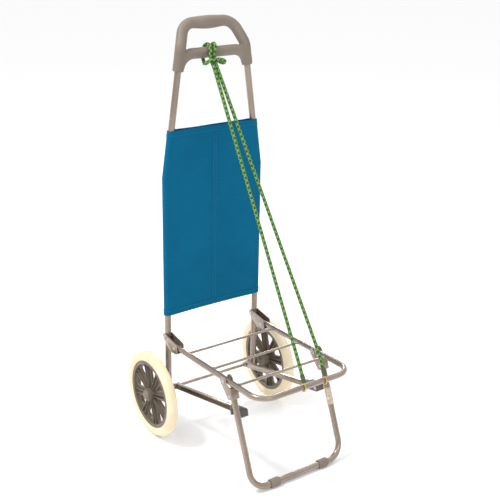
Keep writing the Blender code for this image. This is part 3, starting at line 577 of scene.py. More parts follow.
def in_handle(x, z):
    """A point of the handle: above its cross bar the grip leans further back."""
    return Vector((x, upright_y(z) + GRIP_LEAN * max(0.0, z - GRIP_LEAN_Z), z))


def joined(meshes):
    """Several closed skins in one mesh."""
    shape = bmesh.new()
    for mesh in meshes:
        shape.from_mesh(mesh)
    return mesh_from(shape, "joined", turn_out=False)


def applied(obj):
    """The object's mesh with its modifiers applied; the object itself is removed."""
    bpy.context.view_layer.update()
    graph = bpy.context.evaluated_depsgraph_get()
    mesh = bpy.data.meshes.new_from_object(obj.evaluated_get(graph))
    bpy.data.objects.remove(obj, do_unlink=True)
    return mesh


def reshaped(mesh, kind, **settings):
    """The mesh after one modifier of the kind named, with its settings."""
    obj = new_object("reshaped", mesh)
    modifier = obj.modifiers.new("Shape", kind)
    for key, value in settings.items():
        setattr(modifier, key, value)
    return applied(obj)


def carve(mesh, cutter_mesh):
    """The mesh with the cutter's closed solid taken away."""
    cutter = new_object("cutter", cutter_mesh)
    result = reshaped(mesh, "BOOLEAN", operation="DIFFERENCE", solver="EXACT", object=cutter)
    bpy.data.objects.remove(cutter, do_unlink=True)
    return result


arch_half = [in_handle(HANDLE_X, SOCKET_Z), in_handle(upright_x(GRIP_LEAN_Z), GRIP_LEAN_Z),
             in_handle(0.0635, GRIP_TOP)]
arch = rounded_path([Vector((-point.x, point.y, point.z)) for point in arch_half]
                    + arch_half[::-1], 0.036, 14)
middle = len(arch) // 2
arch[middle:middle] = [in_handle(x / 1000.0, GRIP_TOP) for x in range(-30, 31, 4)]
arch_stations = []
for point in arch:
    swell = 0.0
    if point.z > GRIP_TOP - 0.002:
        swell = 0.5 + 0.5 * math.cos(math.pi * min(1.0, abs(point.x) / 0.052))
    arch_stations.append((point - Vector((0.0, 0.0, 0.0009 * swell)),
                          BAR_RADIUS + GRIP_SWELL * swell))
cross_path = rounded_path([in_handle(x, z) for x, z in ((-0.0912, 0.880), (-0.082, 0.9118),
                                                        (0.082, 0.9118), (0.0912, 0.880))],
                          0.037, 10)
handle_parts = [sweep(arch_stations, 36), sweep([(point, BAR_RADIUS) for point in cross_path], 36)]
for side, sign in SIDES:
    low, high = on_upright(sign, 0.8752), on_upright(sign, 0.904)
    handle_parts.append(sweep([(low, 0.0118), (low.lerp(high, 0.03), 0.0126),
                               (low.lerp(high, 0.5), 0.0127), (high, 0.0118)], 36))
handle_mesh = reshaped(joined(handle_parts), "REMESH", mode="VOXEL", voxel_size=0.0017,
                       adaptivity=0.0)
# The creases between the bars are smoothed into fillets.
shape = bmesh.new()
shape.from_mesh(handle_mesh)
for _ in range(4):
    bmesh.ops.smooth_vert(shape, verts=shape.verts, factor=0.5,
                          use_axis_x=True, use_axis_y=True, use_axis_z=True)
handle_mesh = mesh_from(shape, "handle", turn_out=False)
for side, sign in SIDES:
    socket = [(on_upright(sign, z), SOCKET_RADIUS) for z in (0.856, 0.927)]
    handle_mesh = carve(handle_mesh, sweep(socket, 28))
piece("moulded_handle", handle_mesh, moulding, "frame", "handle", 60.0)

# ---------------------------------------------------------------- screws, pins and rivets
# Zinc plated steel.  A pan head screw goes into the back of each handle socket, and rivets with
# low domed heads hold the brackets, the knuckles and their pins.  Each kind is set on points.
steel = finish_of("zinc_plate", (0.42, 0.41, 0.39), (0.62, 0.61, 0.58), 0.30, 1.0, patch=120.0,
                  bump=0.05)
PLATE_WALL = 0.002
PLATE_ROOM = 0.0158
LEG_TILT = math.radians(20.9)
LEG_PIN = deck(0.0, 0.250)


def leg(x, down, forward=0.0143):
    """A point of the leg: distance down from its pin along the tube, and forward across it."""
    sine, cosine = math.sin(LEG_TILT), math.cos(LEG_TILT)
    return Vector((x, LEG_PIN.y - down * sine - forward * cosine,
                   LEG_PIN.z - down * cosine + forward * sine))


def scatter_tree(name, source, material):
    """A tree that puts the source solid on every point and makes one mesh of it all."""
    tree = bpy.data.node_groups.new(name, "GeometryNodeTree")
    new_socket = tree.interface.new_socket
    new_socket("Geometry", in_out="INPUT", socket_type="NodeSocketGeometry")
    size = new_socket("Size", in_out="INPUT", socket_type="NodeSocketFloat")
    size.default_value = 1.0
    new_socket("Geometry", in_out="OUTPUT", socket_type="NodeSocketGeometry")
    make, link = node_maker(tree), tree.links.new
    start, end = make("NodeGroupInput"), make("NodeGroupOutput")
    info = make("GeometryNodeObjectInfo", {"Object": source})
    turn = make("GeometryNodeInputNamedAttribute", {"Name": "turn"}, data_type="FLOAT_VECTOR")
    scatter = make("GeometryNodeInstanceOnPoints")
    grow = make("ShaderNodeCombineXYZ")
    realize = make("GeometryNodeRealizeInstances")
    colour = make("GeometryNodeSetMaterial", {"Material": material})
    link(start.outputs["Geometry"], scatter.inputs["Points"])
    link(info.outputs["Geometry"], scatter.inputs["Instance"])
    link(turn.outputs["Attribute"], scatter.inputs["Rotation"])
    for axis in "XYZ":
        link(start.outputs["Size"], grow.inputs[axis])
    link(grow.outputs[0], scatter.inputs["Scale"])
    link(scatter.outputs["Instances"], realize.inputs["Geometry"])
    link(realize.outputs["Geometry"], colour.inputs["Geometry"])
    link(colour.outputs["Geometry"], end.inputs["Geometry"])
    return tree, size.identifier


def scattered(name, source_mesh, places, turns, material, size=1.0):
    """The source solid at every place, turned by the Euler angles given, as one mesh."""
    source = new_object("source", source_mesh)
    points = bpy.data.meshes.new("points")
    points.from_pydata([tuple(point) for point in places], [], [])
    points.attributes.new("turn", "FLOAT_VECTOR", "POINT")
    for index, turn in enumerate(turns):
        points.attributes["turn"].data[index].vector = turn
    obj = new_object("scatter", points)
    tree, size_socket = scatter_tree(name + "_layout", source, material)
    modifier = obj.modifiers.new("Layout", "NODES")
    modifier.node_group = tree
    modifier[size_socket] = size
    mesh = applied(obj)
    bpy.data.objects.remove(source, do_unlink=True)
    return mesh


def mirrored(profile):
    """A profile followed by its own mirror image."""
    return profile + [(radius, -height) for radius, height in reversed(profile)]


def rivet_mesh(head):
    """A rivet along X: a shank between two low domes of the head's radius."""
    half = (PLATE_ROOM + 2 * PLATE_WALL + 2 * 0.0003) / 2.0
    upper = [(0.0, half + 0.0018)]
    upper += [(head * math.sin(math.radians(a)), half + 0.0003 + 0.0015 * math.cos(math.radians(a)))
              for a in (20, 40, 60, 75, 88)]
    return turned(mirrored(upper + [(head, half), (0.0025, half)]), 24, (0.0, 0.0, 0.0))


NO_TURN = (0.0, 0.0, 0.0)
for name, body, nodes, make_place, head in (
        ("hinge_pins", "frame", "_hinge_pin", lambda x: deck(x, 0.0, 0.0), 0.0052),
        ("rail_rivets", "deck", "_rail_rivet", lambda x: deck(x, 0.043), 0.0046),
        ("leg_pins", "deck", "_leg_pin", lambda x: leg(x, 0.0, 0.0), 0.0052),
        ("leg_rivets", "leg", "_leg_rivet", lambda x: leg(x, 0.034), 0.0046)):
    places = [make_place(sign * FRAME_X) for side, sign in SIDES]
    piece(name, scattered(name, rivet_mesh(head), places, [NO_TURN] * 2, steel), steel, body,
          [side + nodes for side, sign in SIDES])

SCREW_Z = 0.893
screw_profile = [(0.0, 0.0012), (0.0011, 0.0012), (0.0013, 0.0025), (0.0028, 0.0022),
                 (0.0038, 0.0014), (0.0042, 0.0006), (0.0042, 0.0), (0.0017, 0.0),
                 (0.0017, -0.0105), (0.0, -0.0122)]
screw_mesh = turned(screw_profile, 24, (0, 0, 0), (0, 0, 1))
screw_places = [on_upright(sign, SCREW_Z) + Vector((0.0, 0.0132, 0.0)) for side, sign in SIDES]
screws = scattered("socket_screws", screw_mesh, screw_places, [(-math.pi / 2.0, 0.0, 0.0)] * 2,
                   steel)
piece("socket_screws", screws, steel, "frame", ["left_handle_screw", "right_handle_screw"])

# ---------------------------------------------------------------- deck
# A loop of 13 mm painted tube with round front corners, and three 6 mm rungs welded between its
# rails with a small weld bead at each end.  Folded steel brackets hinge it to the uprights.
RAIL_END = 0.030
rail_loop = rounded_path([deck(-FRAME_X, RAIL_END), deck(-FRAME_X, DECK_REACH),
                          deck(FRAME_X, DECK_REACH), deck(FRAME_X, RAIL_END)], 0.040, 14)
piece("deck_tube_loop", tube_mesh(rail_loop, 0.0065), paint, "deck", "deck_loop")

rung_profile = mirrored([(0.0, 0.1189), (0.0044, 0.1189), (0.0043, 0.1181), (0.0034, 0.1172),
                         (0.0030, 0.1160)])
rung_places = [deck(0.0, distance) for distance in (0.085, 0.186, 0.286)]
rungs = scattered("deck_rungs", turned(rung_profile, 20, (0.0, 0.0, 0.0)), rung_places,
                  [NO_TURN] * 3, paint)
piece("deck_rungs", rungs, paint, "deck", ["rear_rung", "middle_rung", "front_rung"])


def plate(outline, centre_x, half_width):
    """A flat outline in the Y-Z plane, given a thickness along X."""
    shape = bmesh.new()
    near, far = [[shape.verts.new((x, point.y, point.z)) for point in outline]
                 for x in (centre_x - half_width, centre_x + half_width)]
    shape.faces.new(near)
    shape.faces.new(list(reversed(far)))
    for index in range(len(outline)):
        nxt = (index + 1) % len(outline)
        shape.faces.new((near[index], far[index], far[nxt], near[nxt]))
    return mesh_from(shape, "plate")


def softened(mesh, width, segments=2, angle=30.0):
    """The mesh with its sharp edges rounded."""
    return reshaped(mesh, "BEVEL", width=width, segments=segments, limit_method="ANGLE",
                    angle_limit=math.radians(angle))


def arc(centre, radius, first, last, steps, make_point):
    """Points of an arc, from degrees to degrees; make_point turns a pair into a world point."""
    angles = [math.radians(first + (last - first) * step / steps) for step in range(steps + 1)]
    return [make_point(centre[0] + radius * math.cos(a), centre[1] + radius * math.sin(a))
            for a in angles]


def rectangle(make_point, first, last, low, high):
    """The corners of a rectangle, from first to last one way and from low to high the other."""
    return [make_point(*pair) for pair in ((first, low), (last, low), (last, high), (first, high))]


def hinge_point(along, up):
    """A point of a bracket: behind its hinge pin along the deck, and above it."""
    return deck(0.0, -along, up)


def knuckle_point(down, forward):
    """A point of a knuckle: down the leg from its pin, and forward across it."""
    return leg(0.0, down, forward)


bracket_outline = arc((0.0, 0.0), 0.009, 120.0, -60.0, 16, hinge_point)
bracket_outline += [hinge_point(-0.005, -0.0150)]
bracket_outline += arc((-0.030, -0.0230), 0.0050, -50.0, -90.0, 4, hinge_point)
bracket_outline += arc((-0.050, -0.0220), 0.0050, -90.0, -170.0, 6, hinge_point)
bracket_outline += arc((-0.0505, -0.0065), 0.0045, 180.0, 100.0, 6, hinge_point)
bracket_hollow = [hinge_point(*pair) for pair in
                  ((-0.070, 0.020), (0.020, 0.020), (0.020, -0.045), (-0.0082, -0.045),
                   (-0.0082, -0.0142), (-0.030, -0.0258), (-0.050, -0.0248), (-0.070, -0.0216))]
knuckle_outline = arc((0.0, 0.0), 0.0115, 60.0, 290.0, 18, knuckle_point)
knuckle_outline += [knuckle_point(*pair) for pair in
                    ((0.0405, 0.0052), (0.042, 0.0067), (0.042, 0.0236), (0.0175, 0.0236))]
knuckle_hollow = rectangle(knuckle_point, -0.03, 0.06, -0.03, 0.0216)
for side, sign in SIDES:
    for name, outline, hollow, body, node in (
            ("_folded_bracket", bracket_outline, bracket_hollow, "deck", "_hinge_bracket"),
            ("_folded_knuckle", knuckle_outline, knuckle_hollow, "leg", "_leg_knuckle")):
        folded_mesh = carve(plate(outline, sign * FRAME_X, PLATE_ROOM / 2 + PLATE_WALL),
                            plate(hollow, sign * FRAME_X, PLATE_ROOM / 2))
        piece(side + name, softened(folded_mesh, 0.0006), paint, body, side + node)

# ---------------------------------------------------------------- prop leg
# A U of 14 mm painted tube that hinges under the deck.  Two plastic sleeves on its foot bar, worn
# flat underneath, keep the paint off the floor, and a blank paper label goes round its right side.
LEG_TOP = 0.0172
FOOT_Z = 0.0092
FOOT_X = 0.068
LEG_LENGTH = (leg(0.0, 0.0).z - FOOT_Z) / math.cos(LEG_TILT)
FOOT_Y = leg(0.0, LEG_LENGTH).y
leg_corners = [leg(-FRAME_X, LEG_TOP), leg(-FRAME_X, LEG_LENGTH), leg(FRAME_X, LEG_LENGTH),
               leg(FRAME_X, LEG_TOP)]
piece("leg_tube_loop", tube_mesh(rounded_path(leg_corners, 0.038, 14), 0.007), paint, "leg",
      "leg_loop")
foot_profile = mirrored([(0.0073, 0.0120), (0.0090, 0.0120), (0.0096, 0.0117), (0.0100, 0.0110)])
below_floor = rectangle(lambda y, z: Vector((0, FOOT_Y + y, z)), -0.02, 0.02, -0.01, 0.0)
for side, sign in SIDES:
    foot_mesh = turned(foot_profile, 40, (sign * FOOT_X, FOOT_Y, FOOT_Z), closed=True)
    foot_mesh = carve(foot_mesh, plate(below_floor, sign * FOOT_X, 0.03))
    piece(side + "_floor_sleeve", foot_mesh, moulding, "leg", side + "_foot_sleeve")

paper = finish_of("blank_paper", (0.40, 0.28, 0.20), (0.74, 0.62, 0.50), 0.55, grain=3000.0,
                  patch=170.0, bump=0.1)
label_low, label_high = leg(FRAME_X, 0.085), leg(FRAME_X, 0.125)
label_profile = [(0.00734, 0.0), (0.00758, 0.0), (0.00758, 0.040), (0.00734, 0.040)]
label_mesh = turned(label_profile, 36, label_low, (label_high - label_low).normalized(),
                    closed=True)
piece("blank_wrap_label", label_mesh, paper, "leg", "blank_label")

# ---------------------------------------------------------------- braces
# Two pressed steel channels, 13 mm deep, run from the axle to the leg, one on each side.  A dark
# grey plastic clip on the front end of each carries the pin; bushes and washers keep it in place.
BRACE_REACH = 0.288
BRACE_RISE = math.atan2(0.164 - AXLE.z, BRACE_REACH)
BRACE_PIN = math.hypot(BRACE_REACH, 0.164 - AXLE.z)
BRACE_X, CHANNEL_HALF, CHANNEL_WEB = 0.103, 0.0045, 0.0014
CLIP_INNER, CLIP_OUTER, CLIP_WALL, CLIP_START = 0.0965, 0.1175, 0.0022, 0.250
AXLE_BORE = 0.0043


def brace_point(along, up, x=0.0):
    """A point of a brace: distance from the axle along the bar, and up across it."""
    sine, cosine = math.sin(BRACE_RISE), math.cos(BRACE_RISE)
    return Vector((x, AXLE.y - along * cosine + up * sine, AXLE.z + along * sine + up * cosine))


def on_axle(x):
    """A point of the axle."""
    return Vector((x, AXLE.y, AXLE.z))


def rod(radius, half, steps, centre):
    """A short round rod along X."""
    return turned([(0.0, half), (radius, half), (radius, -half), (0.0, -half)], steps, centre)


def collar(radius, half):
    """The profile of a ring that fits on the axle, with its outer edges broken."""
    return [(radius - 0.0002, half), (radius, half - 0.0002), (radius, 0.0002 - half),
            (radius - 0.0002, -half), (AXLE_BORE, -half), (AXLE_BORE, half)]


clip_plastic = finish_of("dark_grey_clip", (0.070, 0.068, 0.066), (0.115, 0.110, 0.105), 0.46,
                         grain=2600.0, patch=30.0, bump=0.2, worn=(0.20, 0.19, 0.18), spread=0.07)
bar_outline = arc((0.0, 0.0), 0.0065, 90.0, 270.0, 16, brace_point)
bar_outline += [brace_point(0.259, -0.0065), brace_point(0.259, 0.0065)]
bar_hollow = rectangle(brace_point, 0.016, 0.255, -0.0051, 0.0051)
clip_outline = [brace_point(*pair) for pair in
                ((CLIP_START, -0.0085), (0.2985, -0.0085), (0.300, -0.0070), (0.300, 0.0065),
                 (0.298, 0.0085), (CLIP_START, 0.0085))]
room_half = (CLIP_OUTER - CLIP_INNER - CLIP_WALL + 0.01) / 2
clip_cuts = ((rectangle(brace_point, 0.240, 0.262, -0.0068, 0.0068), BRACE_X, 0.0048),
             (rectangle(brace_point, 0.265, 0.2978, -0.02, 0.0063),
              CLIP_INNER + CLIP_WALL + room_half, room_half),
             (rectangle(brace_point, 0.240, 0.260, -0.02, 0.02), 0.1195, 0.01))
pin_profile = [(0.0, 0.0095), (0.0018, 0.0095), (0.0022, 0.0091), (0.0022, -0.0124),
               (0.0048, -0.0124), (0.0047, -0.0130), (0.0036, -0.0139), (0.0, -0.0142)]
for side, sign in SIDES:
    bar_mesh = carve(plate(bar_outline, sign * BRACE_X, CHANNEL_HALF),
                     plate(bar_hollow, sign * (BRACE_X + CHANNEL_WEB), CHANNEL_HALF))
    bar_mesh = carve(bar_mesh, rod(AXLE_BORE, 0.02, 32, on_axle(sign * BRACE_X)))
    piece(side + "_channel_brace", softened(bar_mesh, 0.0005), paint, side + "_brace",
          side + "_brace_bar")

    clip_mesh = plate(clip_outline, sign * (CLIP_INNER + CLIP_OUTER) / 2,
                      (CLIP_OUTER - CLIP_INNER) / 2)
    for outline, x, half in clip_cuts:
        clip_mesh = carve(clip_mesh, plate(outline, sign * x, half))
    clip_mesh = carve(clip_mesh, rod(0.0028, 0.006, 24, brace_point(BRACE_PIN, 0.0,
                                                                    sign * CLIP_INNER)))
    piece(side + "_plastic_clip", softened(clip_mesh, 0.0009, 3), clip_plastic, side + "_brace",
          side + "_brace_clip")

    pin_mesh = turned(pin_profile, 24, brace_point(BRACE_PIN, 0.0, sign * 0.1088), (sign, 0, 0))
    piece(side + "_clip_pin", pin_mesh, steel, side + "_brace", side + "_brace_pin")
    piece(side + "_brace_bush",
          turned(collar(0.0075, 0.0049), 32, on_axle(sign * 0.1128), closed=True),
          moulding, "frame", side + "_brace_spacer")
    piece(side + "_steel_washer",
          turned(collar(0.0085, 0.0006), 32, on_axle(sign * 0.0975), closed=True),
          steel, "frame", side + "_brace_washer")

# ---------------------------------------------------------------- wheels and axle
# A plain steel rod carries two moulded wheels.  Each has a deep rim, a thin dished web with eight
# drop-shaped windows and eight pairs of ribs, a cream foam tyre and a push cap over the rod's end.
WHEEL_X = 0.171
WHEEL_TURN = {"left": -60.5, "right": 77.5}
RIM = 0.0832
TYRE_RADIUS, TYRE_ROUND = 0.105, 0.0085
AXLE_END = WHEEL_X + 0.011 + 0.0085
axle_steel = finish_of("warm_steel", (0.33, 0.28, 0.23), (0.45, 0.39, 0.33), 0.30, 0.9, patch=60.0,
                       bump=0.05)
axle_profile = mirrored([(0.0, AXLE_END), (0.0034, AXLE_END), (0.0040, AXLE_END - 0.0006)])
piece("wheel_axle", turned(axle_profile, 28, AXLE), axle_steel, "frame", "axle_rod")

# The wheels' plastic is the taupe moulding made more olive and darker: the olive tone is its own
# colour, the extra darkness is painted shade.
olive_hub_moulding_with_painted_shade = finish_of("olive_wheel_moulding_painted_shade", (0.125, 0.096, 0.068), (0.170, 0.132, 0.096), 0.42,
                         grain=2200.0, patch=16.0, bump=0.12, coat=0.2)
foam = finish_of("cream_foam", (0.82, 0.68, 0.44), (0.90, 0.79, 0.57), 0.62, grain=1500.0,
                 patch=22.0, bump=0.25, worn=(0.84, 0.74, 0.54), spread=0.08)


def window_mesh(phase):
    """Eight drop-shaped cutters about the wheel's axis, each with its point towards the hub."""
    outline = [Vector((0.0, 0.0, 0.030))]
    outline += arc((0.0, 0.0610), 0.0105, -20.0, 200.0, 18, lambda y, z: Vector((0.0, y, z)))
    windows = []
    for number in range(8):
        windows.append(plate(outline, 0.0, 0.02))
        windows[-1].transform(Matrix.Rotation(math.radians(phase + 45.0 * number), 4, "X"))
    return joined(windows)


def rib_pair():
    """Two thin ribs that spread from the hub to the rim, deepest at the hub."""
    shape = bmesh.new()
    for lean in (-1.0, 1.0):
        section = []
        for radius, offset, depth in ((0.0145, 0.0026, 0.0088), (0.0400, 0.0040, 0.0080),
                                      (0.0600, 0.0052, 0.0074), (0.0750, 0.0062, 0.0078)):
            section.append([shape.verts.new((x, lean * offset + y, radius)) for x, y in
                            ((-depth, -0.0007), (depth, -0.0007), (depth, 0.0007),
                             (-depth, 0.0007))])
        for lower, upper in zip(section, section[1:]):
            for index in range(4):
                nxt = (index + 1) % 4
                shape.faces.new((lower[index], lower[nxt], upper[nxt], upper[index]))
        shape.faces.new(list(reversed(section[0])))
        shape.faces.new(section[-1])
    return softened(mesh_from(shape, "ribs"), 0.0004)


tyre_profile = []
for first, height in ((90.0, 0.0025), (0.0, -0.0025)):
    for step in range(13):
        angle = math.radians(first - 90.0 * step / 12)
        tyre_profile.append((TYRE_RADIUS - TYRE_ROUND + TYRE_ROUND * math.cos(angle),
                             height + TYRE_ROUND * math.sin(angle)))
tyre_profile += [(0.0905, -0.0108), (0.0860, -0.0106), (RIM + 0.0006, -0.0100), (RIM, -0.0094),
                 (RIM, 0.0094), (RIM + 0.0006, 0.0100), (0.0860, 0.0106), (0.0905, 0.0108)]
wheel_profile = [(AXLE_BORE, 0.0155), (0.0140, 0.0155), (0.0150, 0.0148), (0.0158, 0.0100),
                 (0.0165, 0.0030), (0.0190, 0.0016), (0.0700, 0.0016), (0.0732, 0.0030),
                 (0.0742, 0.0060), (0.0745, 0.0092), (0.0752, 0.0098), (0.0775, 0.0098),
                 (0.0780, 0.0092), (0.0795, 0.0088), (0.0800, 0.0096), (0.0824, 0.0098),
                 (0.0829, 0.0093), (0.0829, -0.0093), (0.0824, -0.0098), (0.0752, -0.0098),
                 (0.0745, -0.0092), (0.0742, -0.0060), (0.0732, -0.0030), (0.0700, -0.0016),
                 (0.0190, -0.0016), (0.0165, -0.0030), (0.0165, -0.0200), (0.0150, -0.0225),
                 (0.0110, -0.0280), (AXLE_BORE, -0.0280)]
cap_profile = [(0.0, 0.0062), (0.0040, 0.0061), (0.0080, 0.0056), (0.0108, 0.0044),
               (0.0122, 0.0026), (0.0125, 0.0010), (0.0125, 0.0), (AXLE_BORE, 0.0),
               (AXLE_BORE, 0.0042), (0.0, 0.0042)]
bush_half = (WHEEL_X - 0.0283 - FRAME_X - 0.0078) / 2
bush_x = FRAME_X + 0.0078 + bush_half
for side, sign in SIDES:
    centre = on_axle(sign * WHEEL_X)
    phase = WHEEL_TURN[side]
    piece(side + "_foam_tyre", turned(tyre_profile, 128, centre, closed=True), foam,
          side + "_wheel", side + "_tyre")

    wheel_mesh = turned(wheel_profile, 96, centre, (sign, 0.0, 0.0), closed=True)
    windows = window_mesh(phase + 22.5)
    windows.transform(Matrix.Translation(centre))
    wheel_mesh = softened(carve(wheel_mesh, windows), 0.0003, 1, 50.0)
    turns = [(math.radians(phase + 45.0 * number), 0.0, 0.0) for number in range(8)]
    ribs = scattered(side + "_wheel_ribs", rib_pair(), [centre] * 8, turns, olive_hub_moulding_with_painted_shade)
    for name, mesh in (("_moulded_wheel", wheel_mesh), ("_wheel_ribs", ribs)):
        piece(side + name, mesh, olive_hub_moulding_with_painted_shade, side + "_wheel", side + "_wheel_hub")

    piece(side + "_push_cap", turned(cap_profile, 40, on_axle(sign * 0.187), (sign, 0, 0)),
          moulding, "frame", side + "_axle_cap")
    piece(side + "_wheel_bush",
          turned(collar(0.0085, bush_half), 32, on_axle(sign * bush_x), closed=True),
          moulding, "frame", side + "_wheel_spacer")

# ---------------------------------------------------------------- fabric back
# A sleeve of woven teal polyester drawn over both uprights, with a felled seam down the middle of
# its front and stitched hems at the top and bottom.  It is stretched, with slight creases.
weave, start, end, make, link, maths = new_group(
    "plain_weave", {"Vector": None, "Threads": 1300.0}, ("Height", "Slub"))
split = make("ShaderNodeSeparateXYZ")
link(start.outputs["Vector"], split.inputs[0])
warp, weft = [maths("SINE", maths("MULTIPLY", maths("MULTIPLY", split.outputs[axis],
                                                    start.outputs["Threads"]), math.pi))
              for axis in "XY"]
link(maths("MULTIPLY", maths("ADD", maths("MULTIPLY", warp, weft), 1.0), 0.5),
     end.inputs["Height"])
stretch = make("ShaderNodeMapping", {"Scale": (30.0, 700.0, 1.0)})
slub = make("ShaderNodeTexNoise", {"Scale": 1.0, "Detail": 2.0})
link(start.outputs["Vector"], stretch.inputs["Vector"])
link(stretch.outputs["Vector"], slub.inputs["Vector"])
link(slub.outputs["Fac"], end.inputs["Slub"])

cloth_material, cloth_shader, make, link = new_material("teal_cloth", 0.86)
cloth_shader.inputs["Specular IOR Level"].default_value = 0.10
cloth_shader.inputs["Sheen Weight"].default_value = 0.04
cloth_shader.inputs["Sheen Roughness"].default_value = 0.45
cloth_uv = make("ShaderNodeUVMap", uv_map="UVMap")
cloth_weave = make("ShaderNodeGroup", node_tree=weave)
cloth_place = make("ShaderNodeTexCoord")
cloth_patches = make("ShaderNodeGroup", {"Patch Scale": 7.0}, node_tree=grain_and_patches)
cloth_ramp = ramp_of(make, (0.0004, 0.130, 0.262), (0.0008, 0.155, 0.300), 0.25, 0.75)
cloth_mix = make("ShaderNodeMix", {"Factor": 0.35}, data_type="RGBA", blend_type="MULTIPLY")
link(cloth_uv.outputs["UV"], cloth_weave.inputs["Vector"])
link(cloth_place.outputs["Object"], cloth_patches.inputs["Vector"])
link(cloth_patches.outputs["Patches"], cloth_ramp.inputs["Fac"])
link(cloth_ramp.outputs["Color"], cloth_mix.inputs["A"])
link(cloth_weave.outputs["Slub"], cloth_mix.inputs["B"])
link(cloth_mix.outputs["Result"], cloth_shader.inputs["Base Color"])
relief(make, link, cloth_shader, cloth_weave.outputs["Height"], 0.35, 0.0003)

SLEEVE_TOP, SLEEVE_BOTTOM = 0.7456, 0.302
SLEEVE_HEIGHT = SLEEVE_TOP - SLEEVE_BOTTOM
SLEEVE_RADIUS = 0.0090
CLOTH = 0.0006
HEM_WIDTH, HEM_OUT = 0.014, 0.00065
SEAM_HALF, SEAM_GAP = 0.0055, 0.0145


def crease(x, z, face):
    """How far the cloth stands out: it sinks between the tubes and has slight pulls."""
    across = max(-1.0, min(1.0, x / upright_x(z)))
    hollow = -0.0028 * (1.0 - across * across)
    height = (z - SLEEVE_BOTTOM) / SLEEVE_HEIGHT
    near_tube = abs(across) ** 3
    pulls = 0.0007 * near_tube * math.sin(z * 150.0 + 2.0 * math.sin(z * 31.0) + face)
    waves = 0.0006 * math.sin(26.0 * x + 17.0 * z + 1.3 * face) * math.sin(9.0 * z + 2.0 * face)
    corner = 0.0010 * math.exp(-((height - 1.0) / 0.10) ** 2) * math.sin(55.0 * x + 1.0)
    return hollow + (pulls + waves + corner) * (1.0 - near_tube ** 4)


def sleeve_length(z):
    """Length once round the sleeve."""
    return 2.0 * (2.0 * upright_x(z) + math.pi * SLEEVE_RADIUS)


def sleeve_point(turn, z, out=0.0):
    """A point of the sleeve: turn goes from 0 to 1 round it, from the middle of the front."""
    half, middle, radius = upright_x(z), upright_y(z), SLEEVE_RADIUS + out
    bend = math.pi * SLEEVE_RADIUS
    walked = (turn % 1.0) * sleeve_length(z)
    for start, x, first in ((half, half, -0.5), (3.0 * half + bend, -half, 0.5)):
        if start <= walked < start + bend:
            angle = first * math.pi + (walked - start) / SLEEVE_RADIUS
            return Vector((x + radius * math.cos(angle), middle + radius * math.sin(angle), z))
    if half < walked < 3.0 * half + bend:
        x = 2.0 * half + bend - walked
        return Vector((x, middle + radius + crease(x, z, 2.0), z))
    x = walked if walked < half else walked - sleeve_length(z)
    return Vector((x, middle - radius - crease(x, z, 0.0), z))


def cloth_band(low, high, rows, columns, out, first=0.0, last=1.0):
    """A band of the sleeve between two heights, with its thickness and a UV map in metres."""
    shape = bmesh.new()
    uv = shape.loops.layers.uv.new("UVMap")
    closed = last - first >= 1.0
    grid = []
    for row in range(rows + 1):
        z = low + (high - low) * row / rows
        count = columns if closed else columns + 1
        grid.append([shape.verts.new(sleeve_point(first + (last - first) * column / columns, z,
                                                  out)) for column in range(count)])
    for row in range(rows):
        for column in range(columns):
            nxt = (column + 1) % columns if closed else column + 1
            face = shape.faces.new((grid[row][column], grid[row][nxt],
                                    grid[row + 1][nxt], grid[row + 1][column]))
            places = ((column, row), (column + 1, row), (column + 1, row + 1), (column, row + 1))
            for loop, (c, r) in zip(face.loops, places):
                z = low + (high - low) * r / rows
                loop[uv].uv = ((first + (last - first) * c / columns) * sleeve_length(z), z)
    return reshaped(mesh_from(shape, "cloth", turn_out=False), "SOLIDIFY", thickness=CLOTH,
                    offset=0.0)


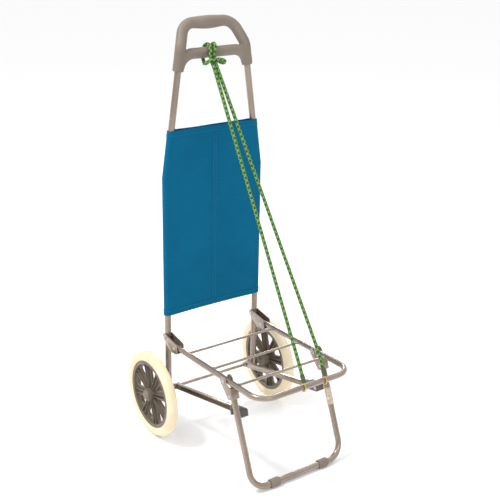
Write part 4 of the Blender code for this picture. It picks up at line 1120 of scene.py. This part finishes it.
sleeve = piece("fabric_back_sleeve", cloth_band(SLEEVE_BOTTOM, SLEEVE_TOP, 110, 260, 0.0),
               cloth_material, "frame", "fabric_panel", 60.0)
hem_meshes = [cloth_band(low, low + HEM_WIDTH, 6, 260, HEM_OUT)
              for low in (SLEEVE_BOTTOM, SLEEVE_TOP - HEM_WIDTH)]
seam_share = SEAM_HALF / sleeve_length(0.5)
hem_meshes.append(cloth_band(SLEEVE_BOTTOM + SEAM_GAP, SLEEVE_TOP - SEAM_GAP, 90, 6, HEM_OUT,
                             -seam_share, seam_share))
hems = piece("fabric_back_hems", joined(hem_meshes), cloth_material, "frame", "fabric_panel",
             60.0)

# ---------------------------------------------------------------- stitching of the fabric back
# Blue polyester thread, slightly lighter than the cloth: one row round each hem and two rows down
# the middle seam, with stitches 3 mm long.  One stitch is laid on every point of the rows.
thread = finish_of("blue_thread", (0.010, 0.170, 0.330), (0.030, 0.240, 0.430), 0.60, grain=2500.0,
                   patch=90.0)
STITCH_PITCH = 0.0045
STITCH_OUT = 0.00105
SEAM_ROWS = SLEEVE_HEIGHT - 0.030
stitch_mesh = sweep([(Vector((x, 0, z)), radius) for x, z, radius in
                     ((-0.0016, -0.0003, 0.00012), (-0.0012, 0.0, 0.00028),
                      (0.0, 0.0001, 0.00032), (0.0012, 0.0, 0.00028),
                      (0.0016, -0.0003, 0.00012))], 6)
stitch_places, stitch_turns = [], []


def lay_stitch(here, ahead, outward):
    """Adds a stitch at one point, along the way to the next, on the side that faces outward."""
    along = (ahead - here).normalized()
    outward = (outward - along * outward.dot(along)).normalized()
    stitch_places.append(here)
    stitch_turns.append(tuple(Matrix((along, outward.cross(along), outward))
                              .transposed().to_euler()))


for z in (SLEEVE_BOTTOM + 0.0115, SLEEVE_TOP - 0.0115):
    count = int(sleeve_length(z) / STITCH_PITCH)
    for number in range(count):
        here = sleeve_point((number + 0.5) / count, z, STITCH_OUT)
        ahead = sleeve_point((number + 0.6) / count, z, STITCH_OUT)
        lay_stitch(here, ahead, Vector((ahead.y - here.y, here.x - ahead.x, 0.0)).normalized())
for offset in (-0.0040, 0.0040):
    count = int(SEAM_ROWS / STITCH_PITCH)
    for number in range(count):
        z = SLEEVE_BOTTOM + 0.015 + SEAM_ROWS * (number + 0.5) / count
        turn = offset / sleeve_length(z)
        lay_stitch(sleeve_point(turn, z, STITCH_OUT), sleeve_point(turn, z + 0.001, STITCH_OUT),
                   Vector((0.0, -1.0, 0.0)))
stitches = piece("fabric_back_stitches",
                 scattered("fabric_back_stitches", stitch_mesh, stitch_places, stitch_turns,
                           thread), thread, "frame", "fabric_panel")
